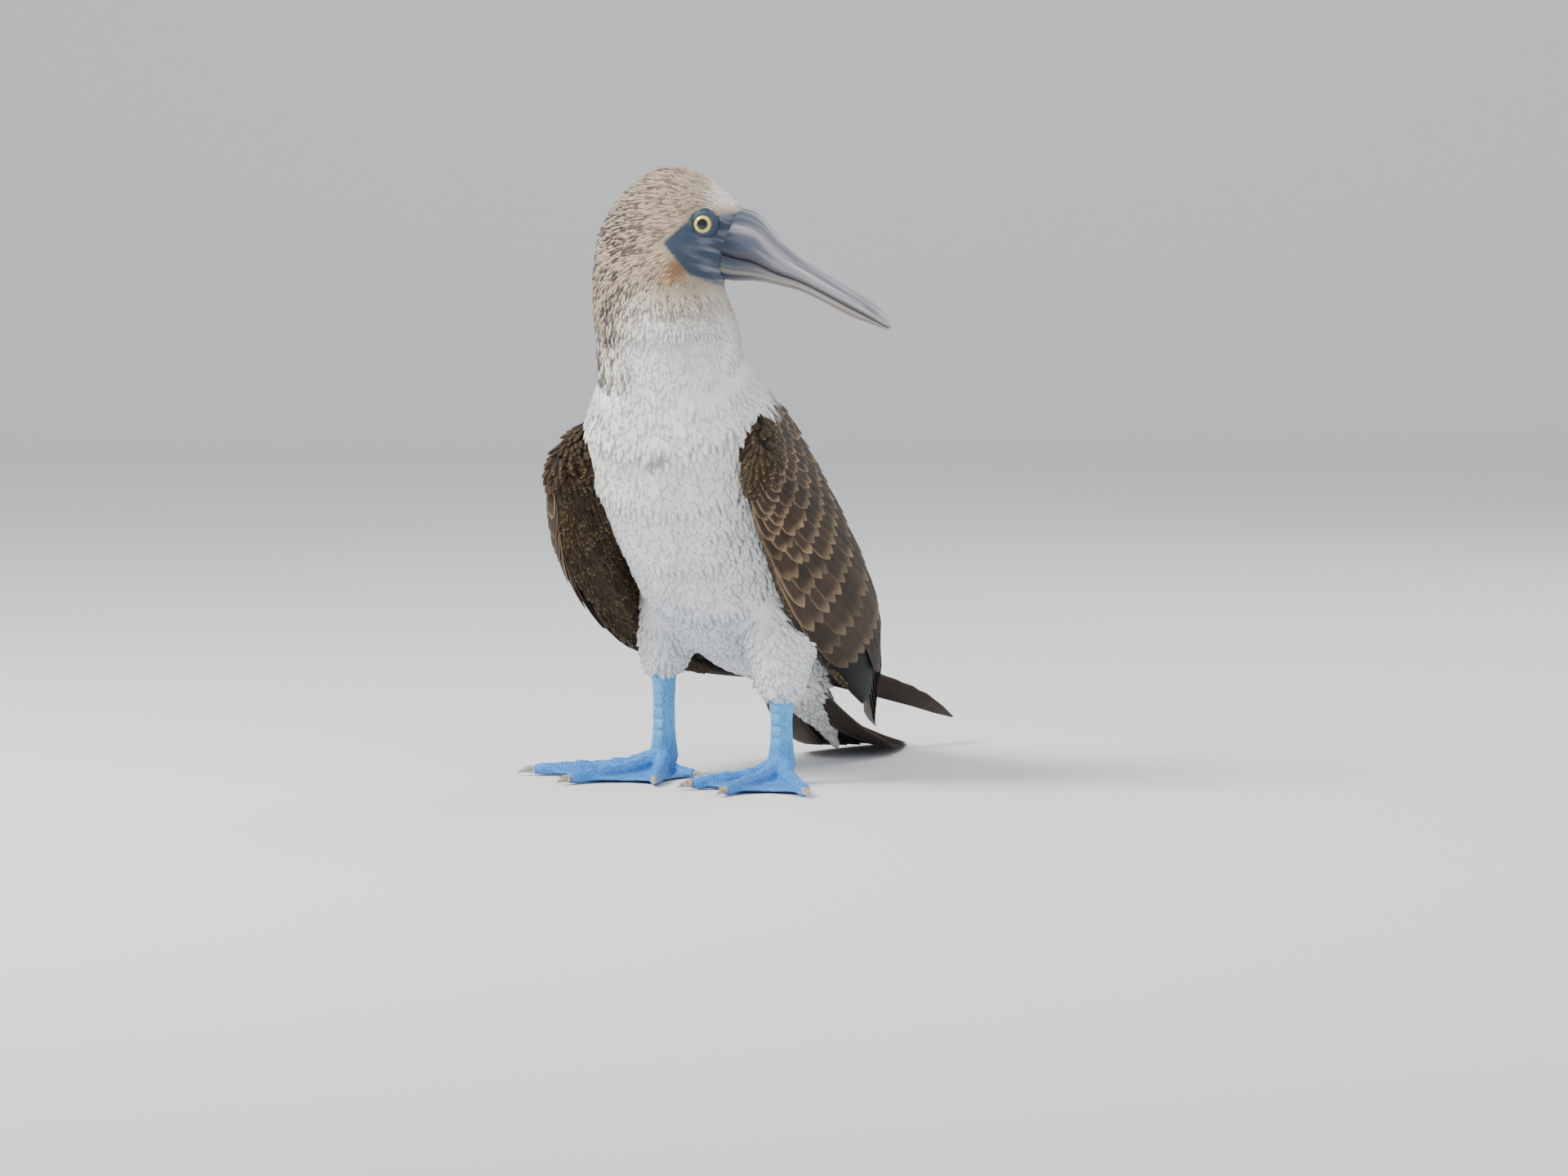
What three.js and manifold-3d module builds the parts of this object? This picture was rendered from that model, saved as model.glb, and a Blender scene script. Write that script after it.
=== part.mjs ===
// Blue footed booby, standing, life size. Millimetres, +Z up.
// The bird faces -Y, its left side is +X, and the floor is z = 0.
import * as THREE from "three";
import { mergeVertices } from "three/addons/utils/BufferGeometryUtils.js";
import Module from "manifold-3d";

const wasm = await Module();
wasm.setup();

// Driving dimensions
const GAP = 0.3;
const RING_POINTS = 28;
const HEAD_YAW = THREE.MathUtils.degToRad(105);
const NECK_CENTRE = new THREE.Vector3(0, -82, 300);
const EYE_FORWARD = 26.5;
const EYE_HEIGHT = 348;
const EYE_RADIUS = 8;
const EYE_SINK = 5.6;
const LID_RADIUS = 6.5;
const LID_THICKNESS = 1.3;
const VANE_THICKNESS = 0.9;
const VANE_GAP = 0.4;
const TIER_RISE = 2.7;
const TAIL_LENGTH = 178;
const TAIL_PAIRS = 6;
const TARSUS_HALF_WIDTH = 6.8;
const TARSUS_HALF_DEPTH = 8.6;
const TARSUS_PLATE_STEP = 7.6;
const ANKLE_TOP = 20;
const TOE_RADIUS = 5.2;
const WEB_THICKNESS = 1.8;
const CLAW_LENGTH = 10;
const MERGE_LENGTH = 0.03;

// Directions of the turned head
const FORWARD = new THREE.Vector3(Math.sin(HEAD_YAW), -Math.cos(HEAD_YAW), 0);
const HEAD_RIGHT = new THREE.Vector3(FORWARD.y, -FORWARD.x, 0);
const UP = new THREE.Vector3(0, 0, 1);

function vec(x, y, z) {
  return new THREE.Vector3(x, y, z);
}

// Solids from points and faces, with the faces turned outward
function solidFrom(points, faces) {
  let volume = 0;
  for (const [a, b, c] of faces) {
    volume += points[a].dot(points[b].clone().cross(points[c])) / 6;
  }
  const turned = volume < 0 ? faces.map(([a, b, c]) => [a, c, b]) : faces;
  return new wasm.Manifold(new wasm.Mesh({
    numProp: 3,
    vertProperties: new Float32Array(points.flatMap((p) => [p.x, p.y, p.z])),
    triVerts: new Uint32Array(turned.flat()),
  }));
}

function fromGeometry(geometry, matrix = new THREE.Matrix4()) {
  const bare = geometry.clone();
  bare.deleteAttribute("normal");
  bare.deleteAttribute("uv");
  const merged = mergeVertices(bare, 1e-4);
  const places = merged.getAttribute("position");
  const points = [];
  for (let i = 0; i < places.count; i += 1) {
    points.push(new THREE.Vector3().fromBufferAttribute(places, i).applyMatrix4(matrix));
  }
  const faces = [];
  const index = merged.getIndex().array;
  for (let i = 0; i < index.length; i += 3) {
    const face = [index[i], index[i + 1], index[i + 2]];
    if (new Set(face).size === 3) faces.push(face);
  }
  return solidFrom(points, faces);
}

// A closed skin through rings of equal point count, with a fan at each end
function loft(rings) {
  const count = rings[0].length;
  const points = rings.flat();
  const faces = [];
  for (let i = 0; i + 1 < rings.length; i += 1) {
    for (let j = 0; j < count; j += 1) {
      const a = i * count + j;
      const b = i * count + ((j + 1) % count);
      faces.push([a, b, b + count], [a, b + count, a + count]);
    }
  }
  for (const last of [false, true]) {
    const ring = last ? rings[rings.length - 1] : rings[0];
    const start = last ? (rings.length - 1) * count : 0;
    const centre = ring.reduce((sum, p) => sum.add(p), vec(0, 0, 0)).divideScalar(count);
    points.push(centre);
    for (let j = 0; j < count; j += 1) {
      const a = start + j;
      const b = start + ((j + 1) % count);
      faces.push(last ? [a, b, points.length - 1] : [b, a, points.length - 1]);
    }
  }
  return solidFrom(points, faces);
}

function join(solids) {
  return largest(wasm.Manifold.union(solids));
}

function largest(solid) {
  const bodies = solid.decompose();
  bodies.sort((a, b) => b.volume() - a.volume());
  return bodies[0];
}

function smooth(points, t) {
  const curve = new THREE.CatmullRomCurve3(points, false, "catmullrom", 0.5);
  return curve.getPoint(THREE.MathUtils.clamp(t, 0, 1));
}

// A value between named stations [place, value]
function along(table, place) {
  const last = table.length - 1;
  if (place <= table[0][0]) return table[0][1];
  if (place >= table[last][0]) return table[last][1];
  let i = 0;
  while (table[i + 1][0] < place) i += 1;
  const part = (place - table[i][0]) / (table[i + 1][0] - table[i][0]);
  return THREE.MathUtils.lerp(table[i][1], table[i + 1][1], part);
}

// Body of flesh: trunk stations from rump to neck, as centre y and z, half width, half depth
const TRUNK = [
  [112, 52, 15, 8],
  [102, 60, 24, 15],
  [86, 74, 35, 25],
  [62, 92, 47, 38],
  [32, 116, 57, 51],
  [4, 144, 62, 59],
  [-24, 176, 63, 61],
  [-50, 208, 64, 59],
  [-67, 235, 59, 53],
  [-77, 259, 46, 45],
];
// Head stations from the neck up, as z, back reach, front reach, half width, taper of the face
const HEAD = [
  [284, -44.5, 45, 43.5, 0],
  [298, -46, 41, 41, 0.1],
  [311, -46, 37, 36, 0.25],
  [322, -45.5, 42, 32, 0.4],
  [332, -44, 50, 29, 0.5],
  [342, -42, 54, 27, 0.55],
  [350, -38.5, 55, 25.5, 0.55],
  [358, -34, 50, 23.5, 0.5],
  [366, -28, 42, 20.5, 0.4],
  [373, -20, 33, 16.5, 0.3],
  [379, -11, 23, 11.5, 0.2],
  [383, -2, 13, 6, 0],
];

// Reach of the head's egg shaped section in the direction of an angle from its forward axis
function eggReach(angle, back, front, half, taper) {
  const length = (front - back) / 2;
  const centre = (front + back) / 2;
  let low = 0;
  let high = 80;
  for (let step = 0; step < 24; step += 1) {
    const mid = (low + high) / 2;
    const f = (mid * Math.cos(angle) - centre) / length;
    const width = half * (1 - taper * Math.max(0, f) ** 1.5);
    const s = (mid * Math.sin(angle)) / Math.max(width, 1);
    if (f * f + s * s < 1) low = mid;
    else high = mid;
  }
  return low;
}

function trunkRing(i, grow) {
  const [y, z, half, depth] = TRUNK[i];
  const before = TRUNK[Math.max(i - 1, 0)];
  const after = TRUNK[Math.min(i + 1, TRUNK.length - 1)];
  const axis = vec(0, after[0] - before[0], after[1] - before[1]).normalize();
  const front = vec(0, -axis.z, axis.y);
  const ring = [];
  for (let j = 0; j < RING_POINTS; j += 1) {
    const angle = (j / RING_POINTS) * 2 * Math.PI;
    const point = vec(Math.sin(angle) * (half + grow), y, z);
    point.addScaledVector(front, Math.cos(angle) * (depth + grow));
    if (i === 0) point.addScaledVector(axis, -grow);
    ring.push(point);
  }
  return ring;
}

function headRing([z, back, front, half, taper], grow) {
  const ring = [];
  const origin = vec(NECK_CENTRE.x, NECK_CENTRE.y, z);
  for (let j = 0; j < RING_POINTS; j += 1) {
    const angle = (j / RING_POINTS) * 2 * Math.PI;
    const reach = eggReach(angle - HEAD_YAW, back, front, half, taper) + grow;
    ring.push(origin.clone().add(vec(Math.sin(angle) * reach, -Math.cos(angle) * reach, 0)));
  }
  return ring;
}

function flesh(grow) {
  const rings = TRUNK.map((station, i) => trunkRing(i, grow));
  rings.push(...HEAD.map((station) => headRing(station, grow)));
  return loft(rings);
}

// Point on the side of the head, at a distance forward of the neck axis and a height
function cheek(forward, z, side) {
  let i = 0;
  while (i + 2 < HEAD.length && HEAD[i + 1][0] < z) i += 1;
  const part = (z - HEAD[i][0]) / (HEAD[i + 1][0] - HEAD[i][0]);
  const mix = (k) => THREE.MathUtils.lerp(HEAD[i][k], HEAD[i + 1][k], part);
  const length = (mix(2) - mix(1)) / 2;
  const f = (forward - (mix(2) + mix(1)) / 2) / length;
  const width = mix(3) * (1 - mix(4) * Math.max(0, f) ** 1.5) * Math.sqrt(Math.max(0, 1 - f * f));
  return headPoint(forward, z, side * width);
}

function headPoint(forward, z, right) {
  const point = vec(NECK_CENTRE.x, NECK_CENTRE.y, z);
  return point.addScaledVector(FORWARD, forward).addScaledVector(HEAD_RIGHT, right);
}

// A tube of flat sides along points, with a radius at each
function tube(points, radii, sides = 8, floor = null) {
  const rings = points.map((point, i) => {
    const before = points[Math.max(i - 1, 0)];
    const after = points[Math.min(i + 1, points.length - 1)];
    const axis = after.clone().sub(before).normalize();
    const across = axis.clone().cross(UP).normalize();
    const upper = across.clone().cross(axis).normalize();
    const ring = [];
    for (let j = 0; j < sides; j += 1) {
      const angle = ((j + 0.5) / sides) * 2 * Math.PI;
      const p = point.clone().addScaledVector(across, Math.cos(angle) * radii[i]);
      p.addScaledVector(upper, Math.sin(angle) * radii[i]);
      if (floor !== null) p.z = Math.max(p.z, floor);
      ring.push(p);
    }
    return ring;
  });
  return loft(rings);
}

function slab(centre, normal, size = 400) {
  const turn = new THREE.Quaternion().setFromUnitVectors(UP, normal.clone().normalize());
  const matrix = new THREE.Matrix4().compose(centre, turn, vec(1, 1, 1));
  return fromGeometry(new THREE.BoxGeometry(size, size, GAP), matrix);
}

// A feather vane: a thin ribbon through stations of place, across, upper and half width
function vane(stations) {
  const half = VANE_THICKNESS / 2;
  const points = [];
  for (const { place, across, upper, width } of stations) {
    for (const [side, top] of [[-1, 1], [1, 1], [1, -1], [-1, -1]]) {
      points.push(place.clone().addScaledVector(across, side * width).addScaledVector(upper, top * half));
    }
  }
  const faces = [[0, 1, 2], [0, 2, 3]];
  for (let i = 0; i + 1 < stations.length; i += 1) {
    const [lt, rt, rb, lb] = [0, 1, 2, 3].map((k) => i * 4 + k);
    faces.push([lt, rt + 4, rt], [lt, lt + 4, rt + 4]);
    faces.push([lb, rb, rb + 4], [lb, rb + 4, lb + 4]);
    faces.push([rt, rt + 4, rb + 4], [rt, rb + 4, rb]);
    faces.push([lt, lb, lb + 4], [lt, lb + 4, lt + 4]);
  }
  const end = points.length - 4;
  faces.push([end, end + 2, end + 1], [end, end + 3, end + 2]);
  return solidFrom(points, faces);
}

// Outline of a vane from root to tip, as part of its length, part of its half width
const VANE_OUTLINE = [
  [0, 0.55],
  [0.4, 1],
  [0.86, 0.85],
  [1, 0.2],
];

// Folded wing, left side: lower edge, outer middle and upper edge from wrist to tip
const WING_LOWER = [
  [60, -90, 186], [63, -64, 142], [60, -14, 94], [54, 45, 66],
  [43, 100, 47], [24, 160, 33], [-9, 240, 17], [-28, 294, 6],
].map((p) => vec(...p));
const WING_MIDDLE = [
  [66, -80, 213], [74, -42, 182], [76, 14, 146], [68, 74, 108],
  [47, 118, 78], [21, 168, 47], [-13, 246, 21], [-30, 295, 7],
].map((p) => vec(...p));
const WING_UPPER = [
  [46, -62, 243], [41, -6, 231], [30, 52, 190], [17, 102, 142],
  [4, 148, 94], [-8, 188, 58], [-22, 250, 25], [-32, 293, 8],
].map((p) => vec(...p));
const WING_LIFT = [[0.42, 0], [0.58, 10], [0.72, 18], [0.88, 15], [1, 7]];
const RIGHT_FLARE = [[0, 12], [0.2, 14], [0.4, 5], [0.55, 0]];
const RIGHT_DROP = [[0, 14], [0.15, 16], [0.35, 6], [0.5, 0]];
const WING_CORE_THICKNESS = [[0, 17], [0.15, 22], [0.4, 18], [0.55, 8], [0.66, 2.6], [1, 1.4]];
const CORE_END = 0.84;

// Point of the folded wing's outer face. t runs from wrist to tip, s from lower to upper edge
function wingPoint(side, t, s) {
  const low = smooth(WING_LOWER, t);
  const mid = smooth(WING_MIDDLE, t);
  const high = smooth(WING_UPPER, t);
  const bow = mid.multiplyScalar(2).addScaledVector(low, -0.5).addScaledVector(high, -0.5);
  const point = low.multiplyScalar((1 - s) ** 2);
  point.addScaledVector(bow, 2 * s * (1 - s)).addScaledVector(high, s * s);
  if (side < 0) point.z += along(WING_LIFT, t) - along(RIGHT_DROP, t) * (0.3 + 0.7 * s);
  point.x *= side;
  if (side < 0) point.x -= along(RIGHT_FLARE, t);
  return point;
}

function wingFrame(side, t, s) {
  const step = 0.01;
  const place = wingPoint(side, t, s);
  const ahead = wingPoint(side, Math.min(t + step, 1), s).sub(wingPoint(side, t - step, s)).normalize();
  const across = wingPoint(side, t, s + step).sub(wingPoint(side, t, s - step));
  const upper = ahead.clone().cross(across).multiplyScalar(side).normalize();
  const sideways = ahead.clone().cross(upper).multiplyScalar(side).normalize();
  return { place, upper, across: sideways, spread: across.length() / (2 * step) };
}

function wingCore(side) {
  const rings = [];
  const arcs = 7;
  const steps = 11;
  for (let i = 0; i <= steps; i += 1) {
    const t = 0.005 + (CORE_END - 0.005) * (i / steps);
    const thickness = along(WING_CORE_THICKNESS, t) + (side < 0 ? along(RIGHT_FLARE, t) : 0);
    const outer = [];
    const inner = [];
    for (let j = 0; j < arcs; j += 1) {
      const { place, upper } = wingFrame(side, t, j / (arcs - 1));
      const edge = j === 0 || j === arcs - 1 ? 0.5 : 1;
      outer.push(place);
      inner.unshift(place.clone().addScaledVector(upper, -thickness * edge));
    }
    rings.push([...outer, ...inner]);
  }
  return loft(rings);
}

// Tiers of the wing: count, root and tip along t, first and last lane along s, height, half width
const TIERS = [
  { name: "secondaries", count: 7, root: 0.3, tip: 0.7, from: 0.34, to: 0.96, rise: 0, width: 12 },
  { name: "greater coverts", count: 7, root: 0.18, tip: 0.46, from: 0.08, to: 0.97, rise: 1, width: 11 },
  { name: "median coverts", count: 7, root: 0.08, tip: 0.28, from: 0.06, to: 0.97, rise: 2, width: 10.5 },
  { name: "lesser coverts", count: 6, root: 0.015, tip: 0.15, from: 0.12, to: 0.95, rise: 2.6, width: 10.5 },
];
const PRIMARIES = 6;
const PRIMARY_ROOT = 0.42;
const PRIMARY_TIPS = [0.99, 0.72];
const PRIMARY_LANES = [0.1, 0.62];

function tierVane(side, { root, tip, lane, endLane, rise, width, pitch }) {
  const stations = VANE_OUTLINE.map(([part, share]) => {
    const t = THREE.MathUtils.lerp(root, tip, part);
    const s = THREE.MathUtils.lerp(lane, endLane, part);
    const frame = wingFrame(side, t, s);
    const slope = Math.min((VANE_THICKNESS + VANE_GAP) / (frame.spread * pitch), 0.3);
    const height = part === 0 ? -1.6 : rise;
    const place = frame.place.clone().addScaledVector(frame.upper, height);
    const across = frame.across.clone().addScaledVector(frame.upper, slope).normalize();
    const upper = frame.upper.clone().addScaledVector(frame.across, -slope).normalize();
    return { place, across, upper, width: width * share };
  });
  return vane(stations);
}

function wing(side, body) {
  const solids = [wingCore(side)];
  for (const tier of TIERS) {
    const pitch = (tier.to - tier.from) / (tier.count - 1);
    for (let i = 0; i < tier.count; i += 1) {
      const lane = tier.from + pitch * i;
      const rise = 1.6 + tier.rise * TIER_RISE;
      solids.push(tierVane(side, { ...tier, lane, endLane: lane, rise, pitch }));
    }
  }
  for (let i = 0; i < PRIMARIES; i += 1) {
    const part = i / (PRIMARIES - 1);
    const lane = THREE.MathUtils.lerp(...PRIMARY_LANES, part);
    const tip = THREE.MathUtils.lerp(...PRIMARY_TIPS, part);
    const rise = 0.8 + i * (VANE_THICKNESS + VANE_GAP);
    const width = 9;
    solids.push(tierVane(side, { root: PRIMARY_ROOT, tip, lane, endLane: 0.5, rise, width, pitch: 1 }));
  }
  return largest(wasm.Manifold.union(solids).subtract(body));
}

// Tail: a wedge of pointed feathers laid on the floor at its tip. The line is the lowest layer's height
const TAIL_LINE = [[96, 50], [120, 34], [150, 17], [190, 4], [225, 1], [262, 0], [290, 0]];
const TAIL_ROOT_Y = 90;
const TAIL_TIP_Y = 264;
const TAIL_PAIR_STEP = 13;

function tailHeight(layer, y) {
  const layers = Math.min(TAIL_PAIRS * 2 - 1, (TAIL_TIP_Y - y) / (TAIL_PAIR_STEP / 2));
  const below = Math.max(0, layers - layer);
  return along(TAIL_LINE, y) + VANE_THICKNESS / 2 + below * (VANE_THICKNESS + VANE_GAP);
}

function tailVane(pair, side) {
  const layer = pair * 2 + (side < 0 ? 1 : 0);
  const fan = THREE.MathUtils.degToRad(1.2 + pair * 1.5) * side;
  const length = TAIL_LENGTH - pair * TAIL_PAIR_STEP;
  const stations = VANE_OUTLINE.map(([part, share]) => {
    const reach = part * length;
    const y = TAIL_ROOT_Y + reach * Math.cos(fan);
    const slope = (tailHeight(layer, y + 4) - tailHeight(layer, y - 4)) / 8;
    const ahead = vec(Math.sin(fan), Math.cos(fan), part === 1 ? 0 : slope).normalize();
    const upper = vec(1, 0, 0).cross(ahead).normalize();
    const across = ahead.clone().cross(upper).normalize();
    const x = side * (2 + pair * 1.8) + reach * Math.sin(fan);
    return { place: vec(x, y, tailHeight(layer, y)), across, upper, width: 11.5 * share };
  });
  return vane(stations);
}

function tail(body) {
  const core = tube(
    [vec(0, 92, 60), vec(0, 118, 43), vec(0, 146, 25)],
    [16, 13, 5],
    12,
  );
  const solids = [core];
  for (let pair = 0; pair < TAIL_PAIRS; pair += 1) {
    for (const side of [-1, 1]) solids.push(tailVane(pair, side));
  }
  return largest(wasm.Manifold.union(solids).subtract(body));
}

// Legs, as ankle place, thigh foot height, and toe directions outward from straight ahead
const LEGS = {
  right: { side: -1, ankle: vec(-46, 8, 0), hem: 64, toes: { hallux: -70, inner: -21, middle: 20, outer: 65 } },
  left: { side: 1, ankle: vec(44, -10, 0), hem: 52, toes: { hallux: -75, inner: -32, middle: 0, outer: 35 } },
};
const TOE_LENGTHS = { hallux: 27, inner: 66, middle: 82, outer: 82 };

function thighRings(leg, grow) {
  const top = leg.hem + 62;
  const stations = [[0, 10.5, 11.5, 0], [6, 15, 15, 0], [22, 19, 21, 3], [40, 24, 28, 8], [62, 26, 33, 14]];
  return stations.map(([rise, half, depth, back]) => {
    const ring = [];
    for (let j = 0; j < 18; j += 1) {
      const angle = (j / 18) * 2 * Math.PI;
      const inward = -leg.side * back * 0.5;
      const x = leg.ankle.x + inward + Math.cos(angle) * (half + grow);
      const y = leg.ankle.y + back + Math.sin(angle) * (depth + grow);
      ring.push(vec(x, y, Math.min(leg.hem + rise, top) + (rise === 0 ? -grow : 0)));
    }
    return ring;
  });
}

function tarsus(leg) {
  const low = ANKLE_TOP + GAP;
  const high = leg.hem - GAP;
  const stations = [[0, 1.12], [0.2, 1], [0.6, 0.95], [1, 1.1]];
  const rings = stations.map(([part, share]) => {
    const z = THREE.MathUtils.lerp(low, high, part);
    return ellipse(leg.ankle.x, leg.ankle.y, z, TARSUS_HALF_WIDTH * share, TARSUS_HALF_DEPTH * share);
  });
  const plates = [loft(rings)];
  const count = Math.round((high - low - 4) / TARSUS_PLATE_STEP);
  for (let i = 0; i < count; i += 1) {
    const z = low + 4.6 + i * TARSUS_PLATE_STEP;
    const matrix = new THREE.Matrix4().makeTranslation(leg.ankle.x, leg.ankle.y - TARSUS_HALF_DEPTH + 0.9, z);
    plates.push(fromGeometry(new THREE.BoxGeometry(7, 3.2, 5.2), matrix));
  }
  return join(plates);
}

function ellipse(x, y, z, half, depth, count = 14) {
  const ring = [];
  for (let j = 0; j < count; j += 1) {
    const angle = (j / count) * 2 * Math.PI;
    ring.push(vec(x + Math.cos(angle) * half, y + Math.sin(angle) * depth, z));
  }
  return ring;
}

function toeDirection(leg, name) {
  const angle = THREE.MathUtils.degToRad(leg.toes[name]);
  return vec(leg.side * Math.sin(angle), -Math.cos(angle), 0);
}

// Height of a toe's middle and its radius along it, with a swelling at each joint
const TOE_RISE = [[0, 12], [0.14, 9.5], [0.3, 5.4], [0.6, 4.2], [1, 3.6]];
const TOE_GIRTH = [[0, 1.35], [0.14, 1.2], [0.24, 0.95], [0.36, 1.1], [0.5, 0.86], [0.64, 1], [0.8, 0.78], [0.92, 0.85], [1, 0.62]];

function toePoint(leg, name, part) {
  const length = TOE_LENGTHS[name];
  const shift = name === "hallux" ? 0.5 : 1;
  const point = leg.ankle.clone().addScaledVector(toeDirection(leg, name), part * length);
  point.z = along(TOE_RISE, part) * (shift < 1 ? 0.8 : 1);
  return point;
}

function toe(leg, name) {
  const size = name === "hallux" ? 0.75 : 1;
  const points = TOE_GIRTH.map(([part]) => toePoint(leg, name, part));
  const radii = TOE_GIRTH.map(([, girth]) => TOE_RADIUS * girth * size);
  const solids = [tube(points, radii, 8, 0)];
  const plates = name === "hallux" ? 1 : 5;
  for (let i = 0; i < plates; i += 1) {
    const part = 0.22 + (0.68 * i) / plates;
    const place = toePoint(leg, name, part);
    place.z += along(TOE_GIRTH, part) * TOE_RADIUS * size - 1;
    const turn = new THREE.Quaternion().setFromUnitVectors(vec(0, -1, 0), toeDirection(leg, name));
    const matrix = new THREE.Matrix4().compose(place, turn, vec(1, 1, 1));
    solids.push(fromGeometry(new THREE.BoxGeometry(4.4 * size, 6, 2.6), matrix));
  }
  return solids;
}

// Web between two toes: a thin sheet with a hollow front edge, low in its middle
function web(leg, first, second) {
  const rows = 4;
  const lanes = 4;
  const top = [];
  for (let i = 0; i <= rows; i += 1) {
    for (let j = 0; j <= lanes; j += 1) {
      const lane = j / lanes;
      const bay = 1 - 0.2 * Math.sin(Math.PI * lane);
      const part = 0.06 + 0.86 * (i / rows) * bay;
      const point = toePoint(leg, first, part).lerp(toePoint(leg, second, part), lane);
      const sag = 1 - 0.35 * Math.sin(Math.PI * lane) * Math.min(1, part * 2);
      point.z = Math.max(point.z * sag, WEB_THICKNESS + 0.4);
      top.push(point);
    }
  }
  const count = top.length;
  const points = [...top, ...top.map((p) => vec(p.x, p.y, p.z - WEB_THICKNESS))];
  const faces = [];
  const width = lanes + 1;
  for (let i = 0; i < rows; i += 1) {
    for (let j = 0; j < lanes; j += 1) {
      const a = i * width + j;
      faces.push([a, a + 1, a + width + 1], [a, a + width + 1, a + width]);
      faces.push([a + count, a + width + 1 + count, a + 1 + count]);
      faces.push([a + count, a + width + count, a + width + 1 + count]);
    }
  }
  const rim = [];
  for (let j = 0; j < lanes; j += 1) rim.push(j);
  for (let i = 0; i < rows; i += 1) rim.push(i * width + lanes);
  for (let j = lanes; j > 0; j -= 1) rim.push(rows * width + j);
  for (let i = rows; i > 0; i -= 1) rim.push(i * width);
  for (let k = 0; k < rim.length; k += 1) {
    const a = rim[k];
    const b = rim[(k + 1) % rim.length];
    faces.push([a, a + count, b + count], [a, b + count, b]);
  }
  return solidFrom(points, faces);
}

function foot(leg) {
  const names = Object.keys(leg.toes);
  const solids = names.flatMap((name) => toe(leg, name));
  for (let i = 0; i + 1 < names.length; i += 1) solids.push(web(leg, names[i], names[i + 1]));
  const { x, y } = leg.ankle;
  const stub = [
    ellipse(x, y, 5, 7, 7), ellipse(x, y, 12, 9, 10), ellipse(x, y, ANKLE_TOP, 7.6, 9.6),
  ];
  solids.push(loft(stub));
  return join(solids);
}

function claw(leg, name) {
  const ahead = toeDirection(leg, name);
  const tip = toePoint(leg, name, 1);
  const size = name === "hallux" ? 0.7 : 1;
  const start = tip.clone().addScaledVector(ahead, GAP);
  const points = [0, 0.4, 0.75, 1].map((part) => {
    const p = start.clone().addScaledVector(ahead, part * CLAW_LENGTH * size);
    p.z += 0.5 * Math.sin(part * Math.PI) - 1.9 * part * part;
    return p;
  });
  const radii = [2.7, 2.2, 1.4, 0.4].map((r) => r * size);
  return tube(points, radii, 8, 0.2);
}

// Bill, as distance forward of the neck axis, culmen, mouth line and keel heights, half width
const BILL = [
  [24, 350, 336, 317, 11],
  [40, 357, 329, 313.5, 13.4],
  [56, 355, 325, 313, 13.2],
  [70, 341, 318.4, 310.3, 11.5],
  [86.5, 327.6, 312.3, 305.7, 8.8],
  [113, 310.8, 298.5, 292.4, 6.4],
  [126, 302.6, 291.5, 287.6, 4.6],
  [136, 293.5, 286, 284, 2.6],
  [139, 288, 285.4, 284.6, 0.9],
];

function billUpper() {
  const rings = BILL.map(([f, culmen, mouth, , half]) => {
    const low = mouth + GAP / 2;
    const depth = culmen - low;
    const section = [
      [1, 0], [0.96, 0.35], [0.72, 0.68], [0.36, 0.92], [0, 1],
      [-0.36, 0.92], [-0.72, 0.68], [-0.96, 0.35], [-1, 0], [-0.5, 0], [0.5, 0],
    ];
    return section.map(([a, b]) => headPoint(f, low + b * depth, a * half));
  });
  return loft(rings);
}

function billLower() {
  const rings = BILL.slice(0, 8).map(([f, , mouth, keel, half]) => {
    const high = mouth - GAP / 2;
    const depth = high - keel;
    const section = [
      [0.94, 0], [0.9, -0.4], [0.6, -0.85], [0, -1], [-0.6, -0.85], [-0.9, -0.4], [-0.94, 0], [0, 0],
    ];
    return section.map(([a, b]) => headPoint(f, high + b * depth, a * half));
  });
  return loft(rings);
}

function eyeCentre(side) {
  const surface = cheek(EYE_FORWARD, EYE_HEIGHT, side);
  return surface.addScaledVector(HEAD_RIGHT, -side * EYE_SINK);
}

function eye(side, grow = 0) {
  const matrix = new THREE.Matrix4().setPosition(eyeCentre(side));
  return fromGeometry(new THREE.SphereGeometry(EYE_RADIUS + grow, 14, 10), matrix);
}

function headDetail(head) {
  let solid = head;
  for (const side of [-1, 1]) {
    const outward = HEAD_RIGHT.clone().multiplyScalar(side);
    const turn = new THREE.Quaternion().setFromUnitVectors(UP, outward);
    const place = eyeCentre(side).addScaledVector(outward, EYE_SINK - 0.3);
    const matrix = new THREE.Matrix4().compose(place, turn, vec(1, 1, 1));
    solid = solid.add(fromGeometry(new THREE.TorusGeometry(LID_RADIUS, LID_THICKNESS, 5, 14), matrix));
    solid = solid.subtract(eye(side, GAP));
    const line = [0, 0.25, 0.5, 0.75, 1].map((part) => cheek(3 + part * 56, 337 - part * 10.5, side));
    solid = solid.subtract(tube(line, [0.5, 1, 1, 1, 1], 6));
  }
  return largest(solid);
}

// Finishes
const COLOURS = {
  torso: [0xece9e4, 0.9],
  neck: [0xcbb79d, 0.9],
  head: [0xbfa98c, 0.9],
  bill_upper: [0x8d8a9c, 0.45],
  bill_lower: [0x8d8578, 0.45],
  eye: [0xd9d36a, 0.15],
  wing: [0x4a3524, 0.8],
  tail: [0x54402f, 0.8],
  thigh: [0xeef0f2, 0.95],
  tarsus: [0x4aa5ea, 0.5],
  foot: [0x3f92e2, 0.55],
  claw: [0xb9ac98, 0.4],
};

const booby = new THREE.Group();

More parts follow.
